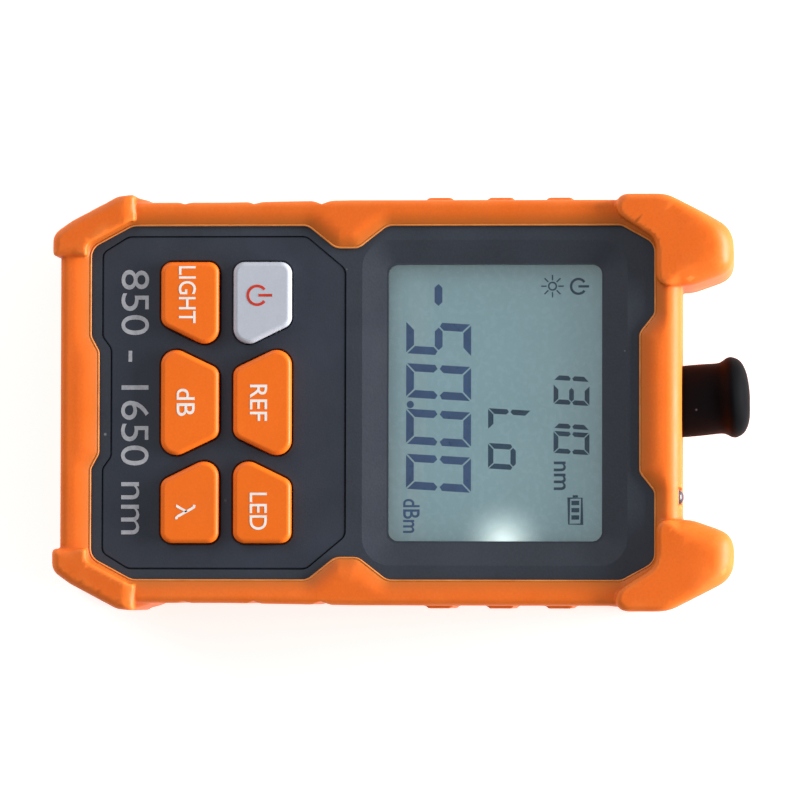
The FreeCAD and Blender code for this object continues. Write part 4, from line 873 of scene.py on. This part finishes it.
# sun, power and battery marks
cx, cy = px(552.5, 286.4)
small += stroke(arc(cx, cy, 0.66, 0, 360, 20)[:-1], 0.27, closed=True)
for k in range(8):
    a = math.radians(45 * k)
    small += stroke([(cx + 1.0 * math.cos(a), cy + 1.0 * math.sin(a)), (cx + 1.95 * math.cos(a), cy + 1.95 * math.sin(a))], 0.24)
cx, cy = px(578.4, 286.6)
small += stroke(arc(cx, cy, 1.27, 125, 415), 0.42) + stroke([(cx, cy), (cx, cy + 1.85)], 0.40)
x0, y0 = px(569, 498)
x1, y1 = px(582, 524)
small += stroke([(x0, y0), (x1, y0), (x1, y1), (x0, y1)], 0.28, closed=True)
small += [[(x0 - 0.5, (y0 + y1) / 2 - 0.45), (x0 - 0.12, (y0 + y1) / 2 - 0.45), (x0 - 0.12, (y0 + y1) / 2 + 0.45),
           (x0 - 0.5, (y0 + y1) / 2 + 0.45)]]
for k in range(3):
    xa = x0 + 0.45 + k * 1.25
    small += [[(xa, y0 + 0.45), (xa + 0.75, y0 + 0.45), (xa + 0.75, y1 - 0.45), (xa, y1 - 0.45)]]
mark(slab("display_marks", seen(small), 23.2, 23.215), "icon_ink", root)
for name, text, v0, v1, u0, u1 in (("display_unit", "dBm", 499, 533, 403.5, 420), ("display_nano", "nm", 461.5, 490, 554, 566)):
    (xa, ya), (xb, yb) = deep(*px(u0, v0)), deep(*px(u1, v1))
    mark(letters(name, text, xa, xb, ya, yb, 23.2, 23.215, 0.012),
         "segment_ink" if text == "dBm" else "icon_ink", root)

# ------------------------------------------------------------------ floor, light, camera
me = bpy.data.meshes.new("floor")
n, r = 96, 5.0
me.from_pydata([(r * math.cos(2 * math.pi * k / n), r * math.sin(2 * math.pi * k / n), -0.00015) for k in range(n)], [],
               [list(range(n))])
floor = bpy.data.objects.new("floor", me)
scene.collection.objects.link(floor)
f = Finish("floor_paper")
f.base(f.colours(f.noise(6.0, 2.0), [(0.3, (0.80, 0.80, 0.80)), (0.7, (0.83, 0.83, 0.83))]))
f.set(rough=0.9, spec=0.1, glow=0.55)
f.bsdf.inputs["Emission Color"].default_value = (1.0, 1.0, 1.0, 1.0)
clear = f.node("ShaderNodeBsdfTransparent")
mixer = f.node("ShaderNodeMixShader")
path = f.node("ShaderNodeLightPath")
geo = f.node("ShaderNodeNewGeometry")
f.link(f.calc("MAXIMUM", geo.outputs["Backfacing"], path.outputs["Is Shadow Ray"]), mixer.inputs[0])
f.link(f.bsdf.outputs["BSDF"], mixer.inputs[1])
f.link(clear.outputs["BSDF"], mixer.inputs[2])
f.link(mixer.outputs["Shader"], f.out.inputs["Surface"])
me.materials.append(f.mat)

world = bpy.data.worlds.new("studio")
scene.world = world
world.use_nodes = True
wn = world.node_tree
wn.nodes.clear()
wo = wn.nodes.new("ShaderNodeOutputWorld")
lit = wn.nodes.new("ShaderNodeBackground")
lit.inputs["Color"].default_value = (1.0, 1.0, 1.0, 1.0)
lit.inputs["Strength"].default_value = 0.36
shown = wn.nodes.new("ShaderNodeBackground")
shown.inputs["Color"].default_value = (1.0, 1.0, 1.0, 1.0)
shown.inputs["Strength"].default_value = 1.0
wm = wn.nodes.new("ShaderNodeMixShader")
wp = wn.nodes.new("ShaderNodeLightPath")
wn.links.new(wp.outputs["Is Camera Ray"], wm.inputs[0])
wn.links.new(lit.outputs[0], wm.inputs[1])
wn.links.new(shown.outputs[0], wm.inputs[2])
wn.links.new(wm.outputs[0], wo.inputs["Surface"])


def softbox(name, place, size, watts, aim=(0.0, 0.0, 0.01), colour=(1.0, 1.0, 1.0)):
    la = bpy.data.lights.new(name, "AREA")
    la.shape = "RECTANGLE"
    la.size, la.size_y = size
    la.energy = watts
    la.color = colour
    ob = bpy.data.objects.new(name, la)
    scene.collection.objects.link(ob)
    ob.location = place
    ob.rotation_euler = (Vector(aim) - Vector(place)).to_track_quat("-Z", "Y").to_euler()
    return ob


softbox("window_light", (-0.05, 0.90, 0.17), (0.8, 0.26), 25.0)
softbox("side_fill", (-0.62, -0.55, 0.52), (0.7, 0.6), 4.4)

# the camera stands a metre over the front face, a little past the end and the right side
target, eye = Vector((-0.00043, 0.0, 0.028)), Vector((EYE[0] * MM, EYE[1] * MM, 1.028))
cam = bpy.data.cameras.new("camera")
cam.sensor_width = 36.0
cam.lens = 36.0 * (eye - target).length / 0.138
cam.clip_start, cam.clip_end = 0.01, 20.0
camera = bpy.data.objects.new("camera", cam)
scene.collection.objects.link(camera)
back = (eye - target).normalized()
right = Vector((0.0, 1.0, 0.0))
right = (right - back * right.dot(back)).normalized()
up = back.cross(right)
camera.location = eye
camera.rotation_euler = Matrix((right, up, back)).transposed().to_euler()
scene.camera = camera
scene.view_settings.view_transform = "Standard"
scene.view_settings.look = "None"
